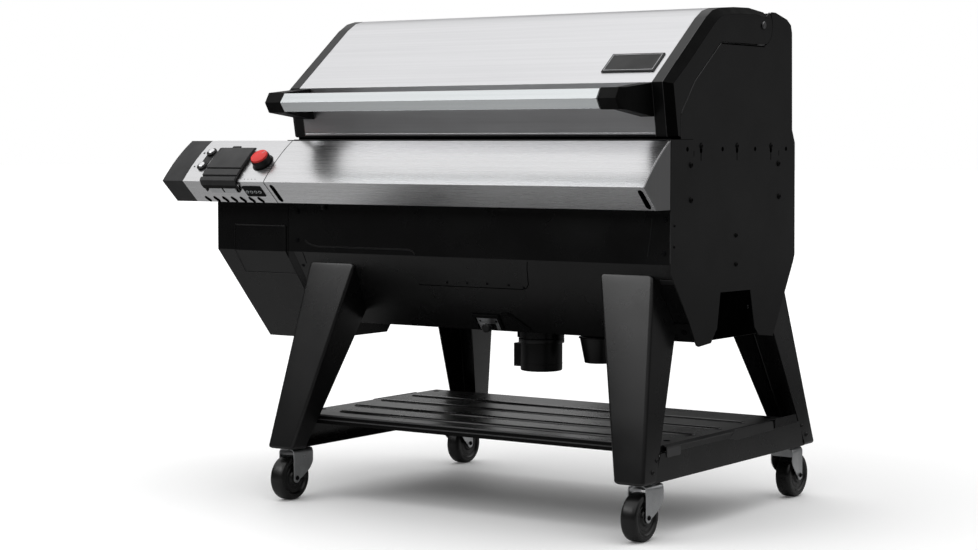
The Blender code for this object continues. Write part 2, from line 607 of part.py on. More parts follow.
def build_hopper(mat):
    levels = [(HOPPER_FOOT_Z, HOPPER_FOOT_LEFT, HOPPER_RIGHT, HOPPER_FOOT_FRONT, HOPPER_FOOT_REAR),
              (FOLD_Z, HOPPER_LEFT, HOPPER_RIGHT, FRONT_Y, REAR_Y),
              (HOPPER_TOP_Z, HOPPER_LEFT, HOPPER_RIGHT, FRONT_Y, REAR_Y)]
    verts, faces = loft(bin_mesh(levels, SHEET, SHEET))
    shell = make_object("hopper_shell", verts, faces, mat["coat"])
    cut(shell, joined_cutter("shell_holes", [
        (circle((FIRE_Y, AUGER_Z), 0.0345, 20), -0.60, -0.56, "X"),
        (rounded([(-0.745, FOLD_Z + 0.008), (-0.592, FOLD_Z + 0.008), (-0.592, 0.700),
                  (-0.745, 0.700)], 0.006), -0.37, -0.33, "Y"),
        (rounded([(-0.700, 0.560), (-0.646, 0.560), (-0.646, 0.600), (-0.700, 0.600)], 0.003),
         0.20, 0.32, "Y"),
    ], mat["coat"]))

    bin_levels = [(0.556, -0.7300, -0.6300, -0.0380, 0.0180),
                  (0.740, -0.8200, -0.5825, -0.3435, 0.1200),
                  (0.9260, -0.8200, -0.5825, -0.3435, 0.1200)]
    bin_rings = []
    for z, x0, x1, y0, y1 in bin_levels:
        bin_rings.append([(x0, y0, z), (x1, y0, z), (x1, y1, z), (x0, y1, z)])
    inner = []
    for z, x0, x1, y0, y1 in bin_levels[::-1]:
        inner.append([(x0 + 0.002, y0 + 0.002, z), (x1 - 0.002, y0 + 0.002, z),
                      (x1 - 0.002, y1 - 0.002, z), (x0 + 0.002, y1 - 0.002, z)])
    verts, faces = loft(bin_rings + inner, closed=True)
    make_object("pellet_bin", verts, faces, mat["zinc"])

    hinge = (HOPPER_LEFT, REAR_Y, HOPPER_LID_Z)
    box("hopper_lid", (HOPPER_LEFT, FRONT_Y, HOPPER_TOP_Z + 0.0005),
        (HOPPER_RIGHT, REAR_Y, HOPPER_LID_Z), mat["coat"], hinge)

    slope = Vector((HOPPER_FOOT_FRONT - FRONT_Y, HOPPER_FOOT_Z - FOLD_Z)).normalized()
    tail = Vector((FRONT_Y, FOLD_Z)) + slope * 0.072
    wrap = [(FRONT_Y, DOOR_TOP_Z), (FRONT_Y, FOLD_Z), tuple(tail)]
    outer = sheet_outline(wrap, -0.0025)[len(wrap):]
    inner = sheet_outline(wrap, -0.0005)[len(wrap):]
    prism("cleanout_door", outer + inner[::-1], -0.762, -0.583, mat["coat"],
          pivot=(-0.762, FRONT_Y - 0.0015, DOOR_TOP_Z))

    axis = (-0.655, FIRE_Y, AUGER_Z)
    tube = turned("auger_tube", [(0.0300, -0.745), (0.0300, -0.062), (0.0280, -0.062),
                                 (0.0280, -0.745)], (0.0, FIRE_Y, AUGER_Z), mat["iron"], "X", 24)
    cut(tube, joined_cutter("feed_mouth", [
        (rounded([(-0.728, -0.034), (-0.632, -0.034), (-0.632, 0.014), (-0.728, 0.014)], 0.004),
         AUGER_Z, AUGER_Z + 0.05, "Z"),
    ], mat["iron"]))
    build_auger(mat, axis)

    motor = [(0.0, 0.0), (0.026, 0.0), (0.026, 0.034), (0.010, 0.036), (0.010, 0.044),
             (0.0, 0.044)]
    turned("gear_motor", motor, (-0.7895, FIRE_Y, AUGER_Z), mat["zinc"], "X", 20, closed=False)

    casing = [(0.050, 0.0), (0.050, 0.045), (0.020, 0.045), (0.020, 0.043), (0.048, 0.043),
              (0.048, 0.002), (0.004, 0.002), (0.004, 0.0)]
    turned("fan_housing", casing, (-0.690, 0.190, 0.66), mat["dark"], "X", 24)
    blades = 9
    rings = []
    for h in (0.0045, 0.0400):
        ring = []
        for i in range(blades * 2):
            radius = 0.042 if i % 2 == 0 else 0.016
            angle = 2 * math.pi * i / (blades * 2)
            ring.append((-0.690 + h, 0.190 + radius * math.cos(angle),
                         0.66 + radius * math.sin(angle)))
        rings.append(ring)
    verts, faces = loft(rings)
    make_object("fan_wheel", verts, faces, mat["dark"], (-0.690, 0.190, 0.66))
    box("power_inlet", (-0.699, 0.2300, 0.5610), (-0.647, 0.2640, 0.5990), mat["dark"])


def build_auger(mat, axis):
    """A screw: a shaft whose ring has one raised vertex that walks round it station by station."""
    points, stations = 12, 90
    start, end = -0.745, -0.066
    shaft, flight = 0.0095, 0.0255
    rings = []
    for s in range(stations + 1):
        x = start + (end - start) * s / stations
        ring = []
        for i in range(points):
            radius = flight if i == s % points else shaft
            if s in (0, stations):
                radius = shaft
            angle = 2 * math.pi * i / points
            ring.append((x, FIRE_Y + radius * math.cos(angle), AUGER_Z + radius * math.sin(angle)))
        rings.append(ring)
    verts, faces = loft(rings)
    make_object("auger", verts, faces, mat["zinc"], axis)


# Fire, ash and grease ---------------------------------------------------------------------------

def build_fire(mat):
    pot = turned("fire_pot", [(0.046, 0.4675), (0.055, 0.500), (0.055, 0.590), (0.052, 0.590),
                              (0.052, 0.502), (0.043, 0.4705), (0.020, 0.4705),
                              (0.020, 0.4675)],
                 (FIRE_X, FIRE_Y, 0.0), mat["iron"], "Z", 24, (FIRE_X, FIRE_Y, 0.4675))
    feet = []
    for x, y in ((-0.054, -0.032), (-0.054, -0.002), (0.048, -0.032), (0.048, -0.002)):
        corners = [(x, y), (x + 0.006, y), (x + 0.006, y + 0.014), (x, y + 0.014)]
        feet.append((corners, BELLY_Z + SHEET + GAP, 0.512, "Z"))
    cut(pot, joined_cutter("pot_feet", feet, mat["iron"]), "UNION")
    cut(pot, joined_cutter("pot_passages", [
        (circle((FIRE_Y, IGNITER_Z), 0.0045), -0.070, -0.030, "X"),
        (circle((FIRE_Y, AUGER_Z), 0.0275, 20), -0.070, -0.030, "X"),
    ], mat["iron"]))
    turned("igniter_rod", [(0.0, 0.0), (0.004, 0.0), (0.004, 0.115), (0.0, 0.115)],
           (-0.150, FIRE_Y, IGNITER_Z), mat["zinc"], "X", 12, closed=False)

    tongue_end = -0.150
    gate = [(PULL_X - 0.008, tongue_end), (PULL_X + 0.008, tongue_end), (PULL_X + 0.008, -0.055),
            (0.040, -0.055), (0.040, 0.040), (-0.045, 0.040), (-0.045, -0.055),
            (PULL_X - 0.008, -0.055)]
    prism("ash_gate", gate, PULL_Z - 0.00125, PULL_Z + 0.00125, mat["iron"], "Z",
          (PULL_X, tongue_end, PULL_Z))
    knob = [(0.0, 0.0), (0.0032, 0.0), (0.0032, -0.083), (0.0100, -0.085), (0.0120, -0.089),
            (0.0110, -0.100), (0.0, -0.102)]
    turned("ash_pull_knob", knob, (PULL_X, tongue_end - GAP, PULL_Z), mat["dark"], "Y", 16,
           closed=False)

    turned("ash_collar", [(0.0600, 0.4230), (0.0600, 0.4440), (0.0680, 0.4440), (0.0680, 0.4545),
                          (0.0480, 0.4545), (0.0480, 0.4500), (0.0550, 0.4470),
                          (0.0550, 0.4230)],
           (FIRE_X, FIRE_Y, 0.0), mat["coat"], "Z", 28, (FIRE_X, FIRE_Y, 0.4545))
    cup = turned("ash_cup", [(0.0, 0.3370), (0.0515, 0.3370), (0.0548, 0.3400), (0.0548, 0.4100),
                             (0.0600, 0.4100), (0.0600, 0.4220), (0.0528, 0.4220),
                             (0.0528, 0.3400), (0.0, 0.3400)],
                 (FIRE_X, FIRE_Y, 0.0), mat["coat"], "Z", 28, (FIRE_X, FIRE_Y, 0.4220),
                 closed=False)
    grip = box("ash_cup_grip", (-0.0780, FIRE_Y - 0.016, 0.345),
               (-0.0538, FIRE_Y + 0.016, 0.4060), mat["coat"])
    cut(cup, grip, "UNION")

    turned("grease_cup", [(0.0, 0.3660), (0.0380, 0.3660), (0.0510, 0.4300), (0.0540, 0.4300),
                          (0.0540, 0.4330), (0.0480, 0.4330), (0.0360, 0.3685), (0.0, 0.3685)],
           (GREASE_X, GREASE_Y, 0.0), mat["zinc"], "Z", 28, (GREASE_X, GREASE_Y, 0.4330),
           closed=False)
    turned("grease_spout", [(0.0130, 0.4380), (0.0130, 0.4840), (0.0110, 0.4840),
                            (0.0110, 0.4380)],
           (GREASE_X, GREASE_Y, 0.0), mat["zinc"], "Z", 16, (GREASE_X, GREASE_Y, 0.4840))

    deflector = box("heat_deflector", (FIRE_X - 0.130, FIRE_Y - 0.110, 0.650),
                    (FIRE_X + 0.130, FIRE_Y + 0.110, 0.653), mat["iron"])
    posts = []
    for x in (-0.129, 0.126):
        for y in (-0.119, 0.079):
            corners = [(x, y), (x + 0.003, y), (x + 0.003, y + 0.020), (x, y + 0.020)]
            posts.append((corners, BELLY_Z + SHEET + GAP, 0.6515, "Z"))
    cut(deflector, joined_cutter("deflector_posts", posts, mat["iron"]), "UNION")

    prism("drip_tray", sheet_outline(DRIP_TRAY, 0.002), -0.560, 0.560, mat["enamel"])

    ladder("grate_left", (-0.568, -0.318, GRATE_Z), (-0.001, 0.2665, GRATE_Z + 0.006), 0.010, 13,
           mat["enamel"])
    ladder("grate_right", (0.001, -0.318, GRATE_Z), (0.568, 0.2665, GRATE_Z + 0.006), 0.010, 13,
           mat["enamel"])
    ladder("upper_rack", (-0.571, -0.140, RACK_Z), (0.571, 0.200, RACK_Z + 0.006), 0.010, 20,
           mat["zinc"])


# Cart -------------------------------------------------------------------------------------------

def leg_corners(side, end, z, grow=0.0, reach=0.0):
    """The four corners of a leg at one height, grown or shrunk all round, front edge first."""
    t = (LEG_TOP_Z - z) / (LEG_TOP_Z - LEG_FOOT_Z)
    front = LEG_TOP_Y + (LEG_FOOT_Y - LEG_TOP_Y) * t
    back = front - (LEG_TOP_DEPTH + (LEG_FOOT_DEPTH - LEG_TOP_DEPTH) * t) - max(grow, 0.0) - reach
    front += grow
    outer = LEG_TOP_OUT + (LEG_FOOT_OUT - LEG_TOP_OUT) * t + grow
    inner = LEG_TOP_IN + (LEG_FOOT_IN - LEG_TOP_IN) * t - grow
    return [(side * outer, end * front, z), (side * inner, end * front, z),
            (side * inner, end * back, z), (side * outer, end * back, z)]


def build_leg(name, side, end, room, mat):
    """One splayed leg: a plate with two flanges and a foot plate, open towards the middle."""
    verts, faces = loft([leg_corners(side, end, LEG_FOOT_Z), leg_corners(side, end, LEG_TOP_Z)])
    leg = make_object("leg_" + name, verts, faces, mat["coat"])
    hollow = [leg_corners(side, end, LEG_FOOT_Z + PLATE, -PLATE, 0.05),
              leg_corners(side, end, LEG_TOP_Z + 0.05, -PLATE, 0.05)]
    verts, faces = loft(hollow)
    cut(leg, make_object(leg.name + "_hollow", verts, faces, mat["coat"]))
    cut(leg, room)


def build_rail(name, side, mat):
    """A channel between two legs, its open side towards the middle, trimmed to the legs."""
    low, high, top = LEG_FOOT_Z, LEG_FOOT_Z + PLATE, RAIL_TOP_Z
    section = [(0.495, low), (0.5635, low), (0.5635, top), (0.515, top), (0.515, top - PLATE),
               (0.5605, top - PLATE), (0.5605, high), (0.495, high)]
    reach = LEG_FOOT_Y - LEG_FOOT_DEPTH - 0.001
    rail = prism("side_rail_" + name, [(side * x, z) for x, z in section], -reach, reach,
                 mat["coat"], "Y")
    for end in (-1, 1):
        rings = []
        for z in (LEG_FOOT_Z - 0.01, LEG_TOP_Z):
            ring = leg_corners(side, end, z, 0.0006)
            rings.append([(side * 0.60, y, h) if i in (0, 3) else (x, y, h)
                          for i, (x, y, h) in enumerate(ring)])
        verts, faces = loft(rings)
        cut(rail, make_object(rail.name + "_end", verts, faces, mat["coat"]))


def build_cart(mat):
    underside = [(FRONT_Y, FOLD_Z + 0.1), (FRONT_Y, FOLD_Z), (BELLY_FRONT_Y, BELLY_Z),
                 (BELLY_REAR_Y, BELLY_Z), (REAR_Y, 0.642), (REAR_Y, 0.75)]
    body_room = sheet_outline(underside, -0.0006)[len(underside):]
    room = joined_cutter("chamber_room", [(body_room, -0.70, 0.70, "X")], mat["coat"])
    ends = ((1, -1, "front_right"), (-1, -1, "front_left"), (1, 1, "rear_right"),
            (-1, 1, "rear_left"))
    for side, end, name in ends:
        build_leg(name, side, end, room, mat)
    for side, name in ((1, "right"), (-1, "left")):
        build_rail(name, side, mat)

    def rectangle(inset, z):
        x, front, rear = TRAY_HALF_X - inset, TRAY_FRONT_Y + inset, TRAY_REAR_Y - inset
        return [(-x, front, z), (x, front, z), (x, rear, z), (-x, rear, z)]

    lip = RAIL_TOP_Z + GAP
    verts, faces = loft([rectangle(0.0, TRAY_TOP_Z), rectangle(0.0, lip), rectangle(SHEET, lip),
                         rectangle(SHEET, TRAY_TOP_Z - SHEET)])
    make_object("lower_shelf", verts, faces, mat["coat"])


def build_casters(mat):
    for side, end, name in ((1, -1, "front_right"), (-1, -1, "front_left"), (1, 1, "rear_right"),
                            (-1, 1, "rear_left")):
        x, y = side * CASTER_X, CASTER_FRONT_Y if end < 0 else CASTER_REAR_Y
        axle_y, axle_z = y + end * CASTER_TRAIL, WHEEL_R
        half = WHEEL_W / 2 + 0.0045
        section = [(-half, 0.030), (-half, FORK_TOP_Z), (half, FORK_TOP_Z), (half, 0.030),
                   (half - 0.003, 0.030), (half - 0.003, FORK_TOP_Z - 0.003),
                   (-half + 0.003, FORK_TOP_Z - 0.003), (-half + 0.003, 0.030)]
        fork = prism("caster_fork_" + name, [(x + a, b) for a, b in section], y - 0.10, y + 0.10,
                     mat["zinc"], "Y", (x, y, FORK_TOP_Z))
        back, front = y - end * 0.030, axle_y + end * 0.0125
        tip = arc((axle_y, axle_z), 0.0125, 200, 340, 5)[::end]
        side_view = [(front, FORK_TOP_Z + 0.01), (back, FORK_TOP_Z + 0.01), (back, 0.100)]
        side_view += tip + [(front, 0.070)]
        cut(fork, joined_cutter("fork_outline_" + name, [(side_view, x - 0.1, x + 0.1, "X")],
                                mat["zinc"]), "INTERSECT")
        cut(fork, joined_cutter("axle_hole_" + name, [
            (circle((axle_y, axle_z), 0.0045, 12), x - 0.1, x + 0.1, "X")], mat["zinc"]))
        w = WHEEL_W / 2
        wheel = [(0.0, -w - 0.0040), (0.0040, -w - 0.0040), (0.0040, -w), (0.018, -w),
                 (0.020, -w + 0.004), (0.040, -w + 0.004), (0.043, -w), (WHEEL_R - 0.005, -w),
                 (WHEEL_R, -w + 0.007), (WHEEL_R, w - 0.007), (WHEEL_R - 0.005, w), (0.043, w),
                 (0.040, w - 0.004), (0.020, w - 0.004), (0.018, w), (0.0040, w),
                 (0.0040, w + 0.0040), (0.0, w + 0.0040)]
        turned("caster_wheel_" + name, wheel, (x, axle_y, axle_z), mat["rubber"], "X", 32,
               closed=False)


clear_scene()
grill = make_root()
materials = build_materials()
build_chamber(materials)
build_lid(materials)
build_shelf(materials)
build_hopper(materials)
build_fire(materials)
build_cart(materials)
build_casters(materials)
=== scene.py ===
"""Looks of a pellet smoker grill: materials, fasteners, trim, floor, lights and camera around the
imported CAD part. Metres, +Z up, the front faces -Y."""
import math

import bmesh
import bpy
from mathutils import Matrix, Vector


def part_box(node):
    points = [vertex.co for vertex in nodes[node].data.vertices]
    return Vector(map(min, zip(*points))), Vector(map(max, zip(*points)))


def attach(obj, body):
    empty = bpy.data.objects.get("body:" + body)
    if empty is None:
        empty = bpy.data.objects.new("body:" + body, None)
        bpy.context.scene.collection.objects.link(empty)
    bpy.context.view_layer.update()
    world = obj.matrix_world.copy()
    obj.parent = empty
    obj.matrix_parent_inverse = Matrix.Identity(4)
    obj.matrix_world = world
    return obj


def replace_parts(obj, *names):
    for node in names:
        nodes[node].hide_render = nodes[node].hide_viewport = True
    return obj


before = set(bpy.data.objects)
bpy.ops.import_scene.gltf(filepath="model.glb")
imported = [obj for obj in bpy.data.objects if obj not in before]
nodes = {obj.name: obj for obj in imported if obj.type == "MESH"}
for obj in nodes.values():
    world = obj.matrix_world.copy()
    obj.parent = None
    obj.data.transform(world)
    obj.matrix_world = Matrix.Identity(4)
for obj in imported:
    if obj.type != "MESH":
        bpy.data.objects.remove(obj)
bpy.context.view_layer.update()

# Sizes below are measured from the middle of the chamber, as the CAD part's are
tub_low, tub_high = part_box("chamber_tub")
MIDDLE = Vector(((tub_low.x + tub_high.x) / 2, tub_low.y + 0.3465, 0.0))
ROOT = "grill_body"
FRONT_Y = -0.3465
FOLD = Vector((0.0, FRONT_Y, 0.646))
HOPPER_FOOT = Vector((0.0, -0.173, 0.402))
SLOPE = Vector((0.0, 0.1345, -0.191)).normalized()      # down the sloped belly
SLOPE_OUT = Vector((0.0, -0.191, -0.1345)).normalized()
PANEL_OUT = 0.578
SHELL_HALF = 0.5747
SHELF_TOP = Vector((0.0, -0.3485, 0.9365))
SHELF_NOSE = Vector((0.0, -0.4677, 0.83))
SHELF_UNDER = Vector((0.0, -0.409, 0.775))
SHELF_BULGE = 0.006
LEG_CORNER = 0.0085
SHEET = 0.0028                  # of the legs and forks
LEG_TOP_Z, LEG_FOOT_Z = 0.62, 0.137
# A leg at its top and at its foot: front face, outer and inner side, depth
LEG_Y, LEG_OUT, LEG_IN = (0.327, 0.449), (0.521, 0.567), (0.371, 0.486)
LEG_DEPTH = 0.142, 0.058
LID_KNEE = Vector((0.0, -0.354, 1.073))
LID_HEM = Vector((0.0, -0.331, 0.945))
LID_SLOPE = Vector((0.0, 0.204, 0.1575)).normalized()
LID_SLOPE_OUT = Vector((0.0, -0.1575, 0.204)).normalized()
CAP_JOIN, SEAM_X = -0.8381, -0.5587
RIM_HALF, SKIN_HALF, BEVEL = 0.558, 0.5294, 0.018
HINGE = (0.112, 1.223)
LID_CREST = 1.2648           # the bevels stay under the top of the CAD part
LID_PATH = ((-0.331, 0.945), (-0.354, 1.073), (-0.28668, 1.12498), (-0.21936, 1.17695),
    (-0.15, 1.2305), (-0.117, 1.2495), (-0.084, 1.2575), (-0.006, 1.263), (0.07, 1.265),
    (0.14797, 1.25773))
X, Y, Z = Vector((1, 0, 0)), Vector((0, 1, 0)), Vector((0, 0, 1))


# Node materials -------------------------------------------

def add_node(tree, kind, joins=None, settings=None, **sockets):
    """A new shader node: its settings, what feeds its sockets and the values of the others."""
    node = tree.nodes.new("ShaderNode" + kind)
    for name, value in (settings or {}).items():
        setattr(node, name, value)
    for name, value in sockets.items():
        node.inputs[name.replace("_", " ")].default_value = value
    for name, source in (joins or {}).items():
        tree.links.new(source, node.inputs[name])
    return node


class Paint:
    """A Principled material with helpers for its procedural texture."""

    def __init__(self, name, colour, roughness, metallic=0.0, **sockets):
        self.material = bpy.data.materials.new(name)
        self.material.use_nodes = True
        self.tree = self.material.node_tree
        self.shader = self.tree.nodes["Principled BSDF"]
        self.set("Base Color", (*colour, 1.0))
        self.set("Roughness", roughness)
        self.set("Metallic", metallic)
        for socket, value in sockets.items():
            self.set(socket.replace("_", " "), value)
        self.place = self.tree.nodes.new("ShaderNodeTexCoord").outputs["Object"]
        self.normal = None

    def set(self, socket, value):
        self.shader.inputs[socket].default_value = value

    def link(self, source, socket):
        self.tree.links.new(source, self.shader.inputs[socket])

    def noise(self, scale, detail=2.0, stretch=(1.0, 1.0, 1.0), rough=0.5):
        spread = add_node(self.tree, "Mapping", {"Vector": self.place}, Scale=stretch)
        return add_node(self.tree, "TexNoise", {"Vector": spread.outputs["Vector"]}, Scale=scale,
            Detail=detail, Roughness=rough).outputs["Fac"]

    def ramp(self, source, low, high, start=0.3, end=0.7):
        return add_node(self.tree, "MapRange", {"Value": source}, From_Min=start, From_Max=end,
            To_Min=low, To_Max=high).outputs["Result"]

    def blend(self, factor, dark, light):
        return add_node(self.tree, "Mix", {"Factor": factor}, {"data_type": "RGBA"},
            A=(*dark, 1.0), B=(*light, 1.0)).outputs["Result"]

    def maths(self, operation, first, second):
        return add_node(self.tree, "Math", {0: first, 1: second},
            {"operation": operation}).outputs["Value"]

    def bump(self, height, strength, distance):
        joins = {"Height": height}
        if self.normal:
            joins["Normal"] = self.normal
        self.normal = add_node(self.tree, "Bump", joins, Strength=strength,
            Distance=distance).outputs["Normal"]
        self.link(self.normal, "Normal")

    def edges(self, radius):
        """One near a sharp edge and nought on the flat, broken up so that the edge wear and painted
        edge highlight are uneven.
        """
        soft = add_node(self.tree, "Bevel", {}, {"samples": 4}, Radius=radius)
        flat = add_node(self.tree, "NewGeometry")
        turn = add_node(self.tree, "VectorMath", {0: soft.outputs["Normal"],
            1: flat.outputs["Normal"]}, {"operation": "DOT_PRODUCT"})
        edge = self.ramp(turn.outputs["Value"], 1.0, 0.0, 0.8, 0.985)
        patches = self.ramp(self.noise(70.0, 3.0), 0.15, 1.0, 0.42, 0.62)
        return self.maths("MULTIPLY", edge, patches)


def powder_coat(name, colour, gloss, level):
    coat = Paint(name, colour, gloss, Specular_IOR_Level=level)
    # Edge wear and painted highlight: the coat turns lighter along sharp edges, in uneven patches.
    wear_and_edge_highlight = coat.edges(0.0016)
    base = coat.ramp(coat.noise(7.0, 4.0), 0.0, 0.35, 0.3, 0.75)
    light = tuple(c * 1.8 + 0.0035 for c in colour)
    coat.link(coat.blend(coat.maths("MAXIMUM", wear_and_edge_highlight, base), colour, light), "Base Color")
    coat.link(coat.ramp(coat.noise(4.0, 5.0, rough=0.6), gloss - 0.05, gloss + 0.07), "Roughness")
    coat.bump(coat.noise(520.0, 2.0), 0.07, 0.0005)
    return coat.material


def brushed_steel(name, colour, gloss, along, depth):
    steel = Paint(name, colour, gloss, 1.0)
    stretch = {"X": (0.012, 1.0, 1.0), "Z": (1.0, 1.0, 0.012)}[along]
    fine = steel.noise(900.0, 3.0, stretch)
    broad = steel.noise(110.0, 3.0, stretch)
    cloud = steel.noise(3.0, 3.0)
    dark = tuple(c * 0.95 for c in colour)
    steel.link(steel.blend(steel.ramp(broad, 0.0, 1.0, 0.35, 0.65), dark, colour), "Base Color")
    scatter = steel.ramp(cloud, gloss * 0.93, gloss * 1.1)
    steel.link(steel.maths("MULTIPLY", steel.ramp(fine, 0.86, 1.14), scatter), "Roughness")
    steel.bump(fine, depth, 0.0004)
    steel.bump(broad, depth * 0.12, 0.0004)
    return steel.material


def moulded(name, colour, gloss, grain=0.1, scale=700.0, level=0.5):
    plastic = Paint(name, colour, gloss, Specular_IOR_Level=level)
    light = tuple(c * 1.5 + 0.0012 for c in colour)
    plastic.link(plastic.blend(plastic.ramp(plastic.noise(14.0, 4.0), 0.0, 0.6), colour, light),
        "Base Color")
    plastic.link(plastic.ramp(plastic.noise(24.0, 4.0), gloss - 0.06, gloss + 0.08), "Roughness")
    plastic.bump(plastic.noise(scale, 2.0), grain, 0.0005)
    return plastic.material


def zinc_plate(name, colour, gloss):
    zinc = Paint(name, colour, gloss, 1.0)
    spangle = add_node(zinc.tree, "TexVoronoi", {"Vector": zinc.place},
        Scale=260.0).outputs["Distance"]
    dark = tuple(c * 0.92 for c in colour)
    zinc.link(zinc.blend(zinc.ramp(spangle, 0.0, 1.0, 0.1, 0.8), colour, dark), "Base Color")
    zinc.link(zinc.ramp(zinc.noise(60.0, 4.0), gloss - 0.08, gloss + 0.1), "Roughness")
    zinc.bump(zinc.noise(380.0, 3.0), 0.08, 0.0005)
    return zinc.material


def heated_steel(name):
    iron = Paint(name, (0.22, 0.2, 0.18), 0.55, 0.9)
    patch = iron.ramp(iron.noise(16.0, 5.0, rough=0.65), 0.0, 1.0, 0.38, 0.62)
    iron.link(iron.blend(patch, (0.26, 0.24, 0.22), (0.13, 0.085, 0.055)), "Base Color")
    iron.link(iron.ramp(iron.noise(40.0, 4.0), 0.42, 0.72), "Roughness")
    iron.bump(iron.noise(300.0, 4.0), 0.15, 0.0008)
    return iron.material


def enamel(name, colour, gloss):
    glaze = Paint(name, colour, gloss, Coat_Weight=0.35, Coat_Roughness=0.12)
    light = tuple(c * 1.8 + 0.01 for c in colour)
    glaze.link(glaze.blend(glaze.ramp(glaze.noise(240.0, 1.0), 0.0, 1.0, 0.66, 0.72), colour,
        light), "Base Color")
    glaze.link(glaze.ramp(glaze.noise(18.0, 4.0), gloss - 0.06, gloss + 0.1), "Roughness")
    glaze.bump(glaze.noise(150.0, 2.0), 0.08, 0.0008)
    return glaze.material


PAINTS = {
    "coat": powder_coat("Powder_coat_black", (0.0052, 0.0052, 0.0054), 0.32, 0.33),
    "wall": powder_coat("Powder_coat_chamber", (0.0026, 0.0026, 0.0027), 0.26, 0.33),
    "leg": powder_coat("Powder_coat_legs", (0.005, 0.005, 0.0052), 0.28, 0.5),
    # Painted highlight: a lighter coat for thin beads and small pieces, standing in for the light
    # caught along edges.
    "painted_highlight": powder_coat("Powder_coat_painted_highlight", (0.04, 0.04, 0.041), 0.34, 0.5),
    "lid": brushed_steel("Stainless_lid", (0.76, 0.76, 0.775), 0.34, "X", 0.013),
    "shelf": brushed_steel("Stainless_shelf", (0.74, 0.74, 0.75), 0.28, "X", 0.01),
    "end": brushed_steel("Stainless_end_plate", (0.37, 0.37, 0.375), 0.44, "Z", 0.012),
    "bar": brushed_steel("Anodised_handle", (0.76, 0.79, 0.8), 0.22, "X", 0.012),
    "dark": moulded("Moulded_black", (0.0034, 0.0034, 0.0036), 0.4, level=0.35),
    "deep": moulded("Fastener_black", (0.0012, 0.0012, 0.0012), 0.55, 0.04, level=0.12),
    "cover": moulded("Moulded_cover", (0.022, 0.022, 0.0225), 0.48, 0.08, level=0.35),
    "cap": moulded("Moulded_end_cap", (0.014, 0.014, 0.0145), 0.44, 0.1, level=0.3),
    "red": moulded("Moulded_red", (0.62, 0.026, 0.022), 0.42, 0.04, level=0.4),
    "button": brushed_steel("Metallised_button", (0.8, 0.8, 0.81), 0.26, "X", 0.01),
    "rubber": moulded("Wheel_rubber", (0.003, 0.003, 0.003), 0.3, 0.06, 420.0, 0.45),
    "hub": moulded("Wheel_hub", (0.0042, 0.0042, 0.0042), 0.3, 0.05),
    "zinc": zinc_plate("Zinc_plate", (0.62, 0.63, 0.64), 0.34),
    "bolt": zinc_plate("Bolt_black_oxide", (0.016, 0.016, 0.017), 0.42),
    "pin": zinc_plate("Hinge_pin_steel", (0.24, 0.24, 0.245), 0.4),
    "iron": heated_steel("Heated_steel"),
    "enamel": enamel("Porcelain_enamel", (0.01, 0.01, 0.011), 0.26),
    "band": moulded("Lid_end_black", (0.0016, 0.0016, 0.0016), 0.6, 0.04, level=0.045),
    # Painted shadow: a near-black, unreflecting fill laid in holes, slots, recesses and gaps between
    # parts for the shade inside them.
    "painted_shadow": moulded("Shadow_black", (0.0005, 0.0005, 0.0005), 0.95, 0.02, level=0.0),
    "line": moulded("Light_print", (0.34, 0.34, 0.35), 0.5, 0.03),
    "ink": moulded("Dark_print", (0.03, 0.03, 0.031), 0.55, 0.03),
}

NODE_PAINT = {name: paint for paint, names in (
    ("wall", "chamber_tub hopper_shell cleanout_door ash_collar ash_cup"),
    ("wall", "side_rail_left side_rail_right"),
    ("coat", "rear_housing side_panel_left side_panel_right hopper_lid"),
    ("coat", "lid_end_left lid_end_right grease_cup grease_spout"),
    ("leg", "lower_shelf"), ("lid", "lid_skin"), ("shelf", "front_shelf control_panel"),
    ("end", "shelf_end_plate"), ("bar", "handle_bar"), ("cap", "shelf_end_cap"),
    ("deep", "handle_bracket_left handle_bracket_right"),
    ("dark", "lid_badge fan_housing fan_wheel power_inlet ash_pull_knob"),
    ("cover", "display_cover"), ("red", "control_knob"), ("button", "button_upper button_lower"),
    ("zinc", "auger gear_motor igniter_rod pellet_bin upper_rack"),
    ("pin", "hinge_bracket_left hinge_bracket_right"),
    ("iron", "ash_gate auger_tube fire_pot heat_deflector"),
    ("enamel", "drip_tray grate_left grate_right"),
) for name in names.split()}


def paint_of(name):
    if name in NODE_PAINT:
        return NODE_PAINT[name]
    if name.startswith("leg_"):
        return "leg"
    if name.startswith("caster_fork"):
        return "zinc"
    return "rubber"


def modify(item, name, kind, **settings):
    modifier = item.modifiers.new(name, kind)
    for key, value in settings.items():
        setattr(modifier, key, value)
    return modifier


def dress_nodes():
    """Gives each CAD node its finish and a small rounding of its edges."""
    for name, item in nodes.items():
        item.data.materials.clear()
        item.data.materials.append(PAINTS[paint_of(name)])
        for face in item.data.polygons:
            face.use_smooth = True
        modify(item, "weld", "WELD", merge_threshold=0.00002)
        modify(item, "flat", "DECIMATE", decimate_type="DISSOLVE", angle_limit=math.radians(0.6))
        modify(item, "rounding", "BEVEL", width=0.0008, segments=2, limit_method="ANGLE",
            angle_limit=math.radians(32), use_clamp_overlap=True)
        modify(item, "shade", "WEIGHTED_NORMAL", keep_sharp=False, weight=80)


# Shapes ---------------------------------------------------

def turns(steps):
    """The angles of a full turn in equal steps."""
    return [2 * math.pi * i / steps for i in range(steps)]


def arc(middle, radius, degrees):
    """Points of a circle in a plane at the given angles."""
    return [(middle[0] + radius * math.cos(a), middle[1] + radius * math.sin(a))
        for a in map(math.radians, degrees)]


